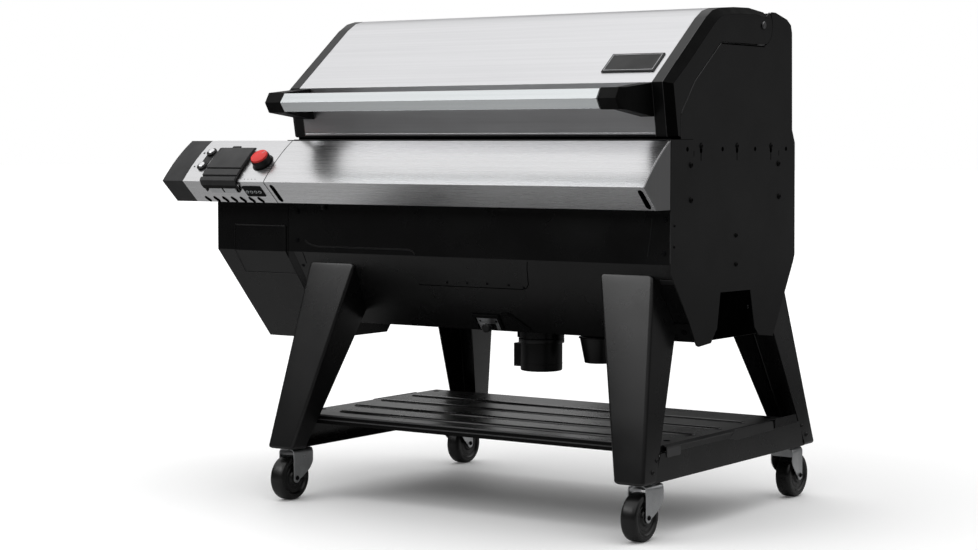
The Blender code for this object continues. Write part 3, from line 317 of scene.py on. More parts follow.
class Shape:
    """Collects closed pieces, in chamber coordinates, into one mesh object."""

    def __init__(self):
        self.work = bmesh.new()

    def loft(self, rings, closed=False):
        size = len(rings[0])
        verts = [point for ring in rings for point in ring]
        faces = []
        spans = len(rings) if closed else len(rings) - 1
        for level in range(spans):
            low = level * size
            high = ((level + 1) % len(rings)) * size
            for i in range(size):
                j = (i + 1) % size
                faces.append((low + i, low + j, high + j, high + i))
        if not closed:
            faces.append(tuple(range(size)))
            faces.append(tuple(range((len(rings) - 1) * size, len(rings) * size)))
        placed = [self.work.verts.new(v) for v in verts]
        for face in faces:
            self.work.faces.new([placed[i] for i in face])
        return self

    def box(self, low, high):
        (x0, y0, z0), (x1, y1, z1) = low, high
        return self.loft([[(x0, y0, z), (x1, y0, z), (x1, y1, z), (x0, y1, z)] for z in (z0, z1)])

    def plate(self, corners, out, thickness, lift=0.0):
        """A flat outline of points given a thickness along out."""
        out = Vector(out).normalized()
        return self.loft([[Vector(c) + out * height for c in corners]
            for height in (lift, lift + thickness)])

    def along_x(self, outline, x0, x1):
        """A bar between two x values; only y and z of the outline count."""
        return self.loft([[(x, p[-2], p[-1]) for p in outline] for x in (x0, x1)])

    def strokes(self, points, out, half_width, thickness, lift):
        """Flat straight strips along a path on a plane."""
        for a, b in zip(points, points[1:]):
            across = (b - a).cross(out).normalized() * half_width
            self.plate([a - across, b - across, b + across, a + across], out, thickness, lift)
        return self

    def disc(self, radius, start, end, at, out, steps):
        """A round plate between two heights along its axis."""
        return self.turned([(radius, start), (radius, end), (0.0, end)], at, out, steps)

    def turned(self, profile, at, axis, steps=32):
        """A profile of (radius, height) turned about an axis through at."""
        axis = Vector(axis).normalized()
        side = axis.orthogonal().normalized()
        other = axis.cross(side)
        rings = []
        for radius, height in profile:
            radius = max(radius, 0.00002)
            rings.append([Vector(at) + axis * height + side * (radius * math.cos(a)) + other
                * (radius * math.sin(a)) for a in turns(steps)])
        return self.loft(rings)

    def bolt(self, at, out, radius=0.0055, height=0.0034, sides=6):
        """A screw head on a washer: hexagonal, or a dome with a cross where sides is 0."""
        if sides:
            self.turned([(radius * 1.45, 0.0), (radius * 1.45, 0.0009)], at, out, 24)
            return self.turned([(radius, 0.0009), (radius, height * 0.8), (radius * 0.86, height)],
                at, out, sides)
        return self.turned([(radius, 0.0), (radius * 0.98, height * 0.35),
            (radius * 0.8, height * 0.75), (radius * 0.42, height), (radius * 0.34, height * 0.99),
            (radius * 0.26, height * 0.45), (0.0, height * 0.42)], at, out, 20)

    def bead(self, points, radius, squash=1.0, out=None, steps=8, closed=False):
        """A round or flattened bead along a path."""
        points = [Vector(p) for p in points]
        rings = []
        count = len(points)
        for i, point in enumerate(points):
            before = points[(i - 1) % count] if closed or i else point
            after = points[(i + 1) % count] if closed or i < count - 1 else point
            run = (after - before).normalized()
            up = Vector(out).normalized() if out else run.orthogonal().normalized()
            side = run.cross(up).normalized()
            rings.append([point + side * (radius * math.cos(a)) + up
                * (radius * squash * math.sin(a)) for a in turns(steps)])
        return self.loft(rings, closed)

    def raw(self, name):
        """The shape as an object that carries no paint and rides on nothing yet."""
        bmesh.ops.recalc_face_normals(self.work, faces=self.work.faces)
        mesh = bpy.data.meshes.new(name)
        self.work.to_mesh(mesh)
        self.work.free()
        mesh.transform(Matrix.Translation(MIDDLE))
        item = bpy.data.objects.new(name, mesh)
        bpy.context.scene.collection.objects.link(item)
        return item

    def done(self, name, paint, body=ROOT, rounding=0.0, slot=None, angle=32):
        item = self.raw(name)
        if rounding:
            modify(item, "rounding", "BEVEL", width=rounding, segments=3, limit_method="ANGLE",
                angle_limit=math.radians(30))
            modify(item, "shade", "WEIGHTED_NORMAL", keep_sharp=False)
        return finish_piece(item, paint, body, None, angle)


def cut(item, cutter, operation="DIFFERENCE"):
    """Cuts the item's mesh with another object, which goes."""
    step = modify(item, "cut", "BOOLEAN", operation=operation, solver="EXACT", object=cutter)
    graph = bpy.context.evaluated_depsgraph_get()
    mesh = bpy.data.meshes.new_from_object(item.evaluated_get(graph))
    item.modifiers.remove(step)
    old, item.data = item.data, mesh
    mesh.name = item.name
    bpy.data.meshes.remove(old)
    bpy.data.objects.remove(cutter)


def finish_piece(item, paint, body, node=None, angle=32):
    """Shades and paints a piece, puts it on its body and lets it stand for a CAD node."""
    item.data.materials.clear()
    item.data.materials.append(PAINTS[paint])
    item.data.shade_smooth()
    item.data.set_sharp_from_angle(angle=math.radians(angle))
    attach(item, body)
    if node:
        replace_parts(item, node)
    return item


def pill_outline(middle, half_length, radius, lean, steps=8):
    """A round-ended slot in a plane, its length at lean degrees."""
    points = []
    for side in (1, -1):
        points += [(side * a, side * b) for a, b in arc((half_length, 0.0), radius,
            [-90 + 180 * i / steps for i in range(steps + 1)])]
    lean = math.radians(lean)
    return [(middle[0] + a * math.cos(lean) - b * math.sin(lean), middle[1] + a * math.sin(lean)
        + b * math.cos(lean)) for a, b in points]


def wall(x, z, lift=0.0):
    """A point on the front wall."""
    return Vector((x, FRONT_Y - lift, z))


def belly(x, z, lift=0.0):
    """A point on the sloped front of the belly, at a height."""
    reach = (FOLD.z - z) / -SLOPE.z
    return Vector((x, 0.0, 0.0)) + FOLD + SLOPE * reach + SLOPE_OUT * lift


def on_slope(start, end, x, z, lift):
    """A point at a height on the plane that leads down from start to end."""
    run = end - start
    out = Vector((0.0, run.z, -run.y)).normalized()
    return Vector((x, 0.0, 0.0)) + start + run * ((z - start.z) / run.z) + out * lift


def shelf_point(x, t, lift=0.0):
    """A point on the shelf's bowed top face, t from its rear edge to its nose."""
    run = SHELF_NOSE - SHELF_TOP
    out = Vector((0.0, run.z, -run.y)).normalized()
    return (Vector((x, 0.0, 0.0)) + SHELF_TOP + run * t + out * (4 * SHELF_BULGE * t * (1 - t)
        + lift))


def shelf_out(t):
    step = shelf_point(0, t + 0.01) - shelf_point(0, t - 0.01)
    return Vector((0.0, step.z, -step.y)).normalized()


def face_point(x, z, lift=0.0):
    """A point on the shelf's lower front face, at a height."""
    return on_slope(SHELF_NOSE, SHELF_UNDER, x, z, lift)


FACE_OUT = Vector((0.0, (SHELF_UNDER - SHELF_NOSE).z, -(SHELF_UNDER - SHELF_NOSE).y)).normalized()


def hopper_slope(x, z, lift=0.0):
    """A point on the hopper's sloped front, at a height."""
    return on_slope(FOLD, HOPPER_FOOT, x, z, lift)


def quad(point, x0, z0, x1, z1):
    """The corners of a panel on one of the surfaces above."""
    return [point(x0, z0), point(x1, z0), point(x1, z1), point(x0, z1)]


def rounded(points, radius, steps=5):
    """A closed loop of points whose corners are replaced by arcs."""
    points = [Vector(p) for p in points]
    result = []
    for i, corner in enumerate(points):
        before = points[i - 1] - corner
        after = points[(i + 1) % len(points)] - corner
        start = corner + before.normalized() * min(radius, before.length * 0.45)
        end = corner + after.normalized() * min(radius, after.length * 0.45)
        for step in range(steps + 1):
            t = step / steps
            result.append((1 - t) ** 2 * start + 2 * t * (1 - t) * corner + t ** 2 * end)
    return result


# Lid ------------------------------------------------------

def lid_front(x, z, lift=0.0):
    """A point on the lid's lower front, at a height."""
    return on_slope(LID_KNEE, LID_HEM, x, z, lift)


def dress_lid():
    Shape().plate(quad(lid_front, -0.528, 0.9453, 0.528, 0.95), (0, -1, 0), 0.001,
        0.0002).done("lid_hem_seal", "dark", "lid")

    Shape().bead([lid_front(-0.527, 0.9535, 0.0002), lid_front(0.527, 0.9535, 0.0002)], 0.0014,
        0.6, (0, -1, 0)).done("lid_hem_fold", "lid", "lid")

    low, high = 0.0405, 0.1115
    border = Shape()
    edge = []
    for inset in (0.0042, 0.0056):
        edge.append([LID_KNEE + LID_SLOPE * along + X * x + LID_SLOPE_OUT * 0.0034
            for x, along in ((0.372 + inset, low + inset), (0.516 - inset, low + inset),
            (0.516 - inset, high - inset), (0.372 + inset, high - inset))])
    outer, inner = edge
    for i in range(4):
        j = (i + 1) % 4
        border.plate([outer[i], outer[j], inner[j], inner[i]], LID_SLOPE_OUT, 0.0006)
    border.done("badge_border", "line", "lid")
    caps = Shape()
    for side in (-1, 1):
        x = side * 0.4716
        caps.plate(rounded([(x, -0.488, 1.0572), (x, -0.5035, 1.033), (x, -0.488, 1.0088),
            (x, -0.4672, 1.0088), (x, -0.4672, 1.0572)], 0.002), X * side, -0.0016)
    caps.done("handle_collars", "dark", "lid", 0.0004)
    dress_lid_ends()


def dress_lid_ends():
    """The dark bevel round each lid end, painted highlight beads along its edges and the round heel
    at the hinge.
    """
    band = Shape()
    edge = Shape()
    heel = Shape()
    for side in (-1, 1):
        rings = []
        rim = []
        for i, (y, z) in enumerate(LID_PATH):
            y0, z0 = LID_PATH[max(i - 1, 0)]
            y1, z1 = LID_PATH[min(i + 1, len(LID_PATH) - 1)]
            run = Vector((0, y1 - y0, z1 - z0)).normalized()
            inward = Vector((0, run.z, -run.y))
            a = Vector((side * RIM_HALF, y, z))
            b = Vector((side * PANEL_OUT, y, z)) + inward * BEVEL
            out = (X * side * 0.018 - inward * 0.02).normalized()
            top = a.lerp(b, 0.03) + out * 0.0003
            top.z = min(top.z, LID_CREST)
            rings.append([top, b + out * 0.0003, b - out * 0.0004, a - out * 0.0004])
            if i < 5:
                rim.append(a)
        band.loft(rings)
        # Painted highlight beads along the rim of the lid end and along the skin's edge.
        edge.bead(rim, 0.0008, 1.0, None, 6)
        edge.bead([Vector((side * SKIN_HALF, y, z)) for y, z in ((-0.3311, 0.946),
            (-0.3541, 1.0722))], 0.0009)
        outlines = []
        for x, taper in ((0.5752, 0.0), (0.5779, 1.0)):
            curve = []
            for angle in range(44, -69, -7):
                radius = 0.0499 - 0.003 * taper * max(0.0, (angle - 4) / 36)
                curve += arc(HINGE, radius, [angle])
            curve += [(0.124, 1.179), (0.13, 1.246)]
            outlines.append([(side * x, y, z) for y, z in curve])
        heel.loft(outlines)
    band.done("lid_end_bevels", "band", "lid")
    edge.done("lid_end_edges", "painted_highlight", "lid")
    heel.done("lid_end_heels", "coat", "lid", 0.0, None, 40)

    # Painted highlight bead along the side panel's brow.
    Shape().bead([(PANEL_OUT - 0.0002, y, z) for y, z in ((-0.106, 1.1708), (-0.233, 1.0774),
        (-0.2996, 1.0))], 0.0007, 1.0, None, 6).bead([(PANEL_OUT - 0.0002, -0.2996, z)
        for z in (0.996, 0.944)], 0.0007).done("panel_brow_edge", "painted_highlight")
    Shape().plate(rounded([(PANEL_OUT, -0.105, 1.1714), (PANEL_OUT, 0.12, 1.1714),
        (PANEL_OUT, 0.12, 1.1688), (PANEL_OUT, -0.105, 1.1688)], 0.0012), X, 0.0003,
        -0.0001).done("panel_brow_shadow", "painted_shadow")


# Control shelf --------------------------------------------

def dress_cover():
    """The flip cover over the display: a bent plate with grooves near its lip and a pull tab."""
    x0, x1 = -0.77, -0.65
    stops = [(0.255, 0.0074), (0.27, 0.0092), (0.4, 0.0106), (0.6, 0.011), (0.757, 0.0106),
        (0.765, 0.006), (0.783, 0.006), (0.791, 0.0104), (0.915, 0.0104), (0.925, 0.0058),
        (0.95, 0.0058), (0.96, 0.0102), (0.995, 0.0104), (1.03, 0.0088)]
    above = [shelf_point(0, t, lift) for t, lift in stops]
    above += [face_point(0, 0.827, 0.0088), face_point(0, 0.8175, 0.0078)]
    below = [shelf_point(0, t, 0.0036) for t, _ in stops[:-1]]
    below += [shelf_point(0, 1.012, 0.004), face_point(0, 0.8275, 0.0042),
        face_point(0, 0.8175, 0.0042)]
    outline = above + below[::-1]
    cover = Shape()
    cover.along_x(outline, x0, x1)
    tab = [shelf_point(0, t, lift) for t, lift in ((0.213, 0.004), (0.262, 0.004), (0.262, 0.0096),
        (0.226, 0.0092), (0.213, 0.0074))]
    cover.along_x(tab, -0.7315, -0.7065)
    piece = cover.done("display_cover_shell", "cover", "display_cover", 0.0007, "dark_plastic")
    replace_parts(piece, "display_cover")

    edge = Shape()
    for x in (x0 + 0.0016, x1 - 0.0016):
        edge.bead([shelf_point(x, t, 0.0106) for t in (0.29, 0.45, 0.6, 0.74)], 0.0014, 0.5,
            shelf_out(0.5))
    edge.done("display_cover_ridges", "cover", "display_cover")
    Shape().plate([face_point(-0.769, 0.8262, 0.0086), face_point(-0.651, 0.8262, 0.0086),
        face_point(-0.651, 0.8178, 0.008), face_point(-0.769, 0.8178, 0.008)], FACE_OUT,
        0.0004).done("display_cover_lip", "deep", "display_cover")
    feet = Shape()
    for xa, xb in ((-0.7695, -0.764), (-0.656, -0.6505)):
        feet.plate([face_point(xa, 0.8172), face_point(xb, 0.8172), face_point(xb, 0.8085),
            face_point(xa, 0.8065)], FACE_OUT, 0.005, 0.001)
    feet.done("display_cover_feet", "dark", "display_cover", 0.0005)

    screen = Shape()
    ts = [0.3 + 0.69 * i / 6 for i in range(7)]
    outline = [shelf_point(0, t, 0.0003) for t in ts] + [shelf_point(0, t, 0.0024)
        for t in ts[::-1]]
    screen.along_x(outline, -0.764, -0.656)
    screen.done("display_bezel", "dark", ROOT, 0.0004)
    glass = Shape()
    ts = [0.38 + 0.42 * i / 4 for i in range(5)]
    outline = [shelf_point(0, t, 0.0025) for t in ts] + [shelf_point(0, t, 0.0029)
        for t in ts[::-1]]
    glass.along_x(outline, -0.75, -0.67)
    glass.done("display_glass", "enamel")


def dress_controls():
    dress_cover()

    pill = Shape()
    centres = [(-0.798, 0.349), (-0.798, 0.679)]
    radius = 0.0125
    run = (shelf_point(0, 0.679) - shelf_point(0, 0.349)).normalized()
    outline = [shelf_point(x - side * radius * math.sin(a), t) - run
        * (side * radius * math.cos(a)) for side, (x, t) in zip((1, -1), centres)
        for a in (math.pi * i / 12 - math.pi / 2 for i in range(13))]
    pill.plate(outline, shelf_out(0.514), 0.0014, 0.0003)
    for x, t in centres:
        pill.turned([(0.0146, 0.0), (0.0146, 0.0046), (0.014, 0.0058), (0.0118, 0.0058),
            (0.0106, 0.0046), (0.0106, 0.0)], shelf_point(x, t, 0.0003), shelf_out(t), 40)
    pill.done("button_plate", "dark", ROOT, 0.0005)

    for name, t in (("button_upper", 0.349), ("button_lower", 0.679)):
        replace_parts(Shape().turned([(0.0, 0.0), (0.01, 0.0), (0.01, 0.0036), (0.0094, 0.0048),
            (0.0074, 0.0062), (0.004, 0.007), (0.0, 0.0072)], shelf_point(-0.798, t, 0.0042),
            shelf_out(t), 36).done(name + "_cap", "button", name, 0.0, "silver_button"), name)

    marks = Shape()
    for t, size in ((0.349, 0.003), (0.679, 0.0024)):
        centre = shelf_point(-0.8265, t, 0.0002)
        marks.turned([(size, 0.0), (size, 0.0003), (size * 0.55, 0.0003), (size * 0.55, 0.0)],
            centre, shelf_out(t), 20)
    for i in range(4):
        marks.disc(0.001, 0.0, 0.0003, shelf_point(-0.627 + 0.012 * i, 0.945, 0.0002),
            shelf_out(0.945), 12)
    marks.done("control_marks", "ink")

    out = shelf_out(0.5)
    centre = shelf_point(-0.598, 0.58, 0.0008)
    skirt = Shape()
    skirt.turned([(0.0, 0.0), (0.0262, 0.0), (0.0264, 0.006), (0.0258, 0.017), (0.0242, 0.0192),
        (0.0, 0.0192)], centre, out, 48)
    side = out.orthogonal().normalized()
    other = out.cross(side)
    for i in range(30):
        angle = 2 * math.pi * i / 30
        way = side * math.cos(angle) + other * math.sin(angle)
        skirt.bead([centre + way * 0.0258 + out * 0.002, centre + way * 0.0252 + out * 0.0168],
            0.0007, 1.0, None, 6)
    piece = skirt.done("knob_skirt", "dark", "control_knob")
    cap = Shape().turned([(0.0, 0.0193), (0.0238, 0.0193), (0.024, 0.0225), (0.023, 0.0246),
        (0.0205, 0.0256), (0.0, 0.0258)], centre, out, 48).done("knob_cap", "red", "control_knob",
        0.0, "red_knob")
    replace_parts(cap, "control_knob")
    Shape().plate([centre + out * 0.0254 + side * a + other * b
        for a, b in ((0.011, -0.0008), (0.02, -0.0008), (0.02, 0.0008), (0.011, 0.0008))], out,
        0.0006).done("knob_pointer", "line", "control_knob")
    Shape().turned([(0.0, 0.0), (0.03, 0.0), (0.0298, 0.0007), (0.0274, 0.0007), (0.0272, 0.0001),
        (0.0, 0.0001)], shelf_point(-0.598, 0.58), shelf_out(0.58), 48).done("knob_bezel", "dark")

    blocks = Shape()
    for x0, x1 in ((-0.757, -0.713), (-0.7085, -0.6665)):
        corners = quad(face_point, x0, 0.816, x1, 0.803)
        blocks.plate(corners, FACE_OUT, 0.003, 0.0014)
    blocks.done("cover_latches", "zinc", ROOT, 0.0006)
    # Painted shadow behind the cover latches.
    Shape().plate(quad(face_point, -0.759, 0.8172, -0.662, 0.802), FACE_OUT, 0.001,
        0.0002).done("latch_seat", "painted_shadow", ROOT)

    Shape().plate(rounded(quad(face_point, -0.643, 0.8185, -0.5805, 0.7925), 0.0045), FACE_OUT,
        0.0016, 0.0002).done("probe_plate", "deep", ROOT, 0.0004)
    # The dark discs in the jacks are painted shadow in their holes.
    jacks = Shape()
    holes = Shape()
    for i in range(4):
        at = face_point(-0.633 + 0.0142 * i, 0.8055, 0.0017)
        jacks.turned([(0.0052, 0.0), (0.0052, 0.001), (0.0046, 0.0018), (0.0034, 0.0018),
            (0.0034, 0.0)], at, FACE_OUT, 20)
        holes.disc(0.0034, 0.0, 0.0006, at, FACE_OUT, 20)
    jacks.done("probe_jacks", "bar")
    holes.done("probe_holes", "painted_shadow")

    # Painted shadow lines along the seam of the shelf top and its face.
    seams = Shape()
    low, high = SEAM_X - 0.0008, SEAM_X + 0.0008
    for i in range(8):
        t0, t1 = i / 8 + 0.001, (i + 1) / 8 - 0.001
        seams.plate(quad(shelf_point, low, t0, high, t1), shelf_out((t0 + t1) / 2), 0.0005,
            -0.0002)
    seams.plate(quad(face_point, low, 0.829, high, 0.776), FACE_OUT, 0.0005, -0.0002)
    seams.done("panel_seam", "painted_shadow")

    # Painted shadow: dark plates filling the slots in the shelf face.
    fills = Shape()
    for x in (-0.5405, 0.56):
        fills.plate([face_point(a, b) for a, b in pill_outline((x, 0.8005), 0.0155, 0.0072, 90)],
            FACE_OUT, 0.0006, -0.0005)
    for i in range(7):
        outline = pill_outline((-0.7925 + 0.0305 * i, 0.7822), 0.0048, 0.0046, 135)
        fills.plate([face_point(a, max(b, 0.7754)) for a, b in outline], FACE_OUT, 0.0009, -0.0002)
    fills.done("slot_fills", "painted_shadow")

    Shape().box((-0.5545, -0.3478, 0.9368), (0.574, -0.333, 0.9398)).done("shelf_rear_gasket",
        "dark", ROOT, 0.0006)

    rivets = Shape()
    for x in (-0.49, -0.25, 0.0, 0.25, 0.49):
        rivets.bolt((x, -0.385, 0.775), -Z, 0.0036, 0.002, 0)
    rivets.done("shelf_screws", "bolt")

    # Painted shadow along the joint of the end cap.
    Shape().bead([Vector((CAP_JOIN, p.y, p.z)) for p in [shelf_point(0, t, 0.0001)
        for t in (0.0, 0.2, 0.4, 0.6, 0.8, 1.0)]], 0.0005, 0.6, shelf_out(0.5),
        6).done("end_cap_joint", "painted_shadow")


# Chamber and hopper ---------------------------------------

def dress_body():
    out = -Y
    bolts = Shape()
    for x, z in ((-0.5432, 0.7508), (-0.5454, 0.6765), (0.5635, 0.7524), (0.5599, 0.6729)):
        bolts.bolt(wall(x, z), out, 0.0046, 0.003, 6)
    bolts.bolt((-0.823, -0.318, 0.718), -X, 0.005, 0.003, 0)
    for x, z in ((-0.0965, 0.579), (-0.0343, 0.5797), (0.0271, 0.5802), (0.0913, 0.579),
            (0.1335, 0.574)):
        bolts.bolt(belly(x, z, 0.0003), SLOPE_OUT, 0.0036, 0.0022, 0)
    bolts.bolt(belly(-0.5479, 0.6086), SLOPE_OUT, 0.0048, 0.0026, 0)
    for y, z in ((-0.3277, 0.7374), (-0.3295, 0.6884)):
        bolts.bolt((PANEL_OUT, y, z), X, 0.004, 0.0024, 0)
    bolts.bolt((0.5746, 0.0452, 0.5248), X, 0.0045, 0.0024, 0)
    bolts.done("body_bolts", "bolt")

    # Painted shadow in the holes and slits of the side panel.
    heads = Shape()
    for y, z in ((-0.269, 0.916), (-0.096, 0.916), (0.073, 0.916), (0.242, 0.916)):
        heads.disc(0.0056, -0.0004, 0.0002, (PANEL_OUT, y, z), X, 20)
    for y in (-0.203, -0.022, 0.158):
        heads.plate([(PANEL_OUT, a, b) for a, b in pill_outline((y, 0.919), 0.0072, 0.0056, 90)],
            X, 0.0006, -0.0004)
        heads.box((PANEL_OUT - 0.0004, y - 0.0012, 0.888), (PANEL_OUT + 0.0002, y + 0.0012, 0.912))
    for y in (-0.2376, 0.202):
        heads.box((PANEL_OUT - 0.0004, y - 0.001, 0.899), (PANEL_OUT + 0.0002, y + 0.001, 0.912))
    heads.done("side_holes_dark", "painted_shadow")
    domes = Shape()
    for y, z, size in ((-0.252, 0.879, 0.0075), (0.2, 0.879, 0.0075), (-0.251, 0.796, 0.0075),
            (0.204, 0.796, 0.0075), (-0.025, 0.705, 0.006), (-0.024, 0.634, 0.006)):
        domes.bolt((PANEL_OUT, y, z), X, size, 0.0042, 0)
    for y in (-0.203, -0.022, 0.158):
        domes.bolt((PANEL_OUT, y, 0.9235), X, 0.0062, 0.0036, 0)
    domes.done("side_bolts", "deep")
    # Painted shadow line along the panel joint.
    Shape().box((PANEL_OUT - 0.0004, -0.344, 0.9386), (PANEL_OUT + 0.0001, -0.242,
        0.9396)).done("panel_joint", "painted_shadow")
    # Painted highlight bead along the side panel's front edge.
    Shape().bead([(PANEL_OUT - 0.001, FRONT_Y + 0.0008, z) for z in (0.65, 0.77)],
        0.0012).done("panel_front_edge", "painted_highlight")

    creases = Shape()
    path = [wall(-0.52, 0.676), wall(-0.508, 0.668), wall(-0.4948, 0.664), wall(-0.4764, 0.6612),
        wall(-0.183, 0.6612), wall(-0.171, 0.658), wall(-0.163, 0.65)]
    creases.bead(path, 0.0022, 0.45, out)
    creases.bead([wall(0.5291, 0.7587), wall(0.5262, 0.73), wall(0.5222, 0.7), wall(0.516, 0.664)],
        0.0016, 0.5, out)
    creases.done("wall_creases", "coat")

    # Painted shadow lines along the belly seams.
    seams = Shape()
    for path in ([(-0.19, 0.5695), (0.128, 0.5695), (0.142, 0.573), (0.152, 0.583), (0.158, 0.6),
            (0.166, 0.622), (0.176, 0.642)], [(-0.5286, 0.645), (-0.53, 0.632),
            (-0.5328, 0.6146)]):
        seams.strokes([belly(x, z) for x, z in path], SLOPE_OUT, 0.0011, 0.0003, -0.0001)
    seams.done("belly_seams", "painted_shadow")

    # Painted shadow: a dark plate over the arch at the shell's right end, for the shade inside it.
    Shape().plate([(SHELL_HALF + 0.0001, y, z) for y, z in ((-0.14, 0.4556), (0.09, 0.4556),
        (0.09, 0.576), (-0.12, 0.576))], X, 0.0002).done("arch_recess", "painted_shadow")

    Shape().box((-0.462, -0.356, 0.768), (-0.446, -0.346, 0.7745)).turned([(0.0, 0.0),
        (0.0045, 0.0), (0.006, 0.002), (0.006, 0.008), (0.004, 0.01), (0.0, 0.0104)],
        (-0.454, -0.352, 0.768), -Z, 24).done("shelf_foot", "dark", ROOT, 0.0005)

    dress_ash_bracket()
    dress_lobe_tabs()


def dress_ash_bracket():
    """The frame round the ash pull on the belly, with its bright plate and brace."""
    rim = Shape()
    outer = [(-0.059, 0.499), (0.0235, 0.499), (0.0235, 0.46), (-0.059, 0.46)]
    inner = [(-0.051, 0.4905), (0.0155, 0.4905), (0.0155, 0.46), (-0.051, 0.46)]
    for i in (0, 1, 3):
        j = (i + 1) % 4
        rim.plate([belly(*outer[i]), belly(*outer[j]), belly(*inner[j]), belly(*inner[i])],
            SLOPE_OUT, 0.005, 0.0003)
    rim.done("ash_pull_frame", "deep", ROOT, 0.0008)

    bright = Shape()
    bright.plate(quad(belly, -0.05, 0.4895, 0.0145, 0.4735), SLOPE_OUT, 0.0014, 0.0003)
    for x0, x1 in ((-0.05, -0.026), (0.002, 0.0145)):
        bright.plate(quad(belly, x0, 0.4733, x1, 0.459), SLOPE_OUT, 0.0014, 0.0003)
    bright.done("ash_pull_plate", "zinc", ROOT, 0.0004)
    screws = Shape()
    for x in (-0.041, 0.008):
        screws.bolt(belly(x, 0.481, 0.0017), SLOPE_OUT, 0.003, 0.0018, 0)
    screws.done("ash_pull_screws", "bolt")

    brace = Shape()
    path = [(0.03, 0.4985), (0.056, 0.501), (0.102, 0.462)]
    brace.strokes([belly(x, z) for x, z in path], SLOPE_OUT, 0.005, 0.003, 0.0003)
    brace.done("ash_pull_brace", "deep", ROOT, 0.0006)


def dress_lobe_tabs():
    """Small tabs at the right end: one by the lobe with its bolt and one above it."""
    Shape().plate(quad(belly, 0.5279, 0.5022, 0.572, 0.4605), SLOPE_OUT, 0.003,
        0.0003).plate(quad(belly, 0.536, 0.611, 0.572, 0.6), SLOPE_OUT, 0.003,
        0.0003).done("lobe_tabs", "coat", ROOT, 0.0008)
    Shape().bolt(belly(0.552, 0.482, 0.0033), SLOPE_OUT, 0.005, 0.003, 6).done("lobe_tab_bolt",
        "bolt")


def dress_hopper():
    hinge = Shape()
    for x in (-0.79, -0.612):
        hinge.disc(0.0036, 0.0, 0.04, (x - 0.02, 0.2925, 0.9335), X, 20)
    hinge.done("hopper_lid_knuckles", "zinc")
    grid = Shape()
    for i in range(9):
        x = -0.8 + 0.0246 * i
        grid.bead([(x, -0.338, 0.897), (x, 0.114, 0.897)], 0.0016)
    for y in (-0.2, -0.08, 0.03):
        grid.bead([(-0.8175, y, 0.8938), (-0.585, y, 0.8938)], 0.0016)
    grid.done("pellet_guard", "zinc")
    screws = Shape()
    for y in (-0.28, -0.03, 0.22):
        for z in (0.7, 0.9):
            screws.bolt((-0.823, y, z), -X, 0.0042, 0.0024, 0)
    screws.done("hopper_screws", "bolt")
    Shape().disc(0.0013, 0.0, 0.172, (-0.7585, FRONT_Y - 0.0027, 0.713), X,
        16).done("door_hinge_rod", "coat", "cleanout_door")
    outline = [(-0.76, 0.7115), (-0.585, 0.7115)]
    lines = Shape()
    lines.bead([Vector((x, FRONT_Y - 0.003, z)) for x, z in outline], 0.001, 0.6, -Y)
    for x in (-0.76, -0.585):
        lines.bead([Vector((x, FRONT_Y - 0.003, 0.7115)), Vector((x, FRONT_Y - 0.003, 0.648))],
            0.001, 0.6, -Y)
        lines.bead([hopper_slope(x, 0.645, 0.003), hopper_slope(x, 0.5855, 0.003)], 0.001, 0.6,
            SLOPE_OUT)
    lines.bead([hopper_slope(-0.76, 0.5855, 0.003), hopper_slope(-0.585, 0.5855, 0.003)], 0.001,
        0.6, SLOPE_OUT)
    lines.done("door_rim", "coat", "cleanout_door")
    # Painted shadow in the gap round the cleanout door.
    gap = Shape()
    path = [(-0.7612, 0.644), (-0.7612, 0.5843), (-0.5838, 0.5843), (-0.5838, 0.644)]
    gap.strokes([hopper_slope(x, z) for x, z in path], SLOPE_OUT, 0.0012, 0.0006, -0.0001)
    gap.done("door_gap", "painted_shadow")
    strip = Shape()
    rings = []
    for z, y in ((0.6456, -0.3464), (0.629, -0.3463), (0.566, -0.2996), (0.503, -0.2528),
            (0.46, -0.2262)):
        deep = belly(0.0, z).y
        rings.append([(-0.5745, y, z), (-0.559, deep - 0.0003, z), (-0.559, deep + 0.002, z),
            (-0.5745, deep + 0.002, z)])
    strip.loft(rings)
    strip.loft([[belly(-0.5797, z, 0.0), belly(-0.5782, z, 0.0), belly(-0.5782, z, -0.003),
        belly(-0.5797, z, -0.003)] for z in (0.645, 0.456)])
    strip.box((-0.5797, FRONT_Y, 0.646), (-0.5744, FRONT_Y + 0.003, 0.929))
    strip.done("hopper_joint_strip", "wall")


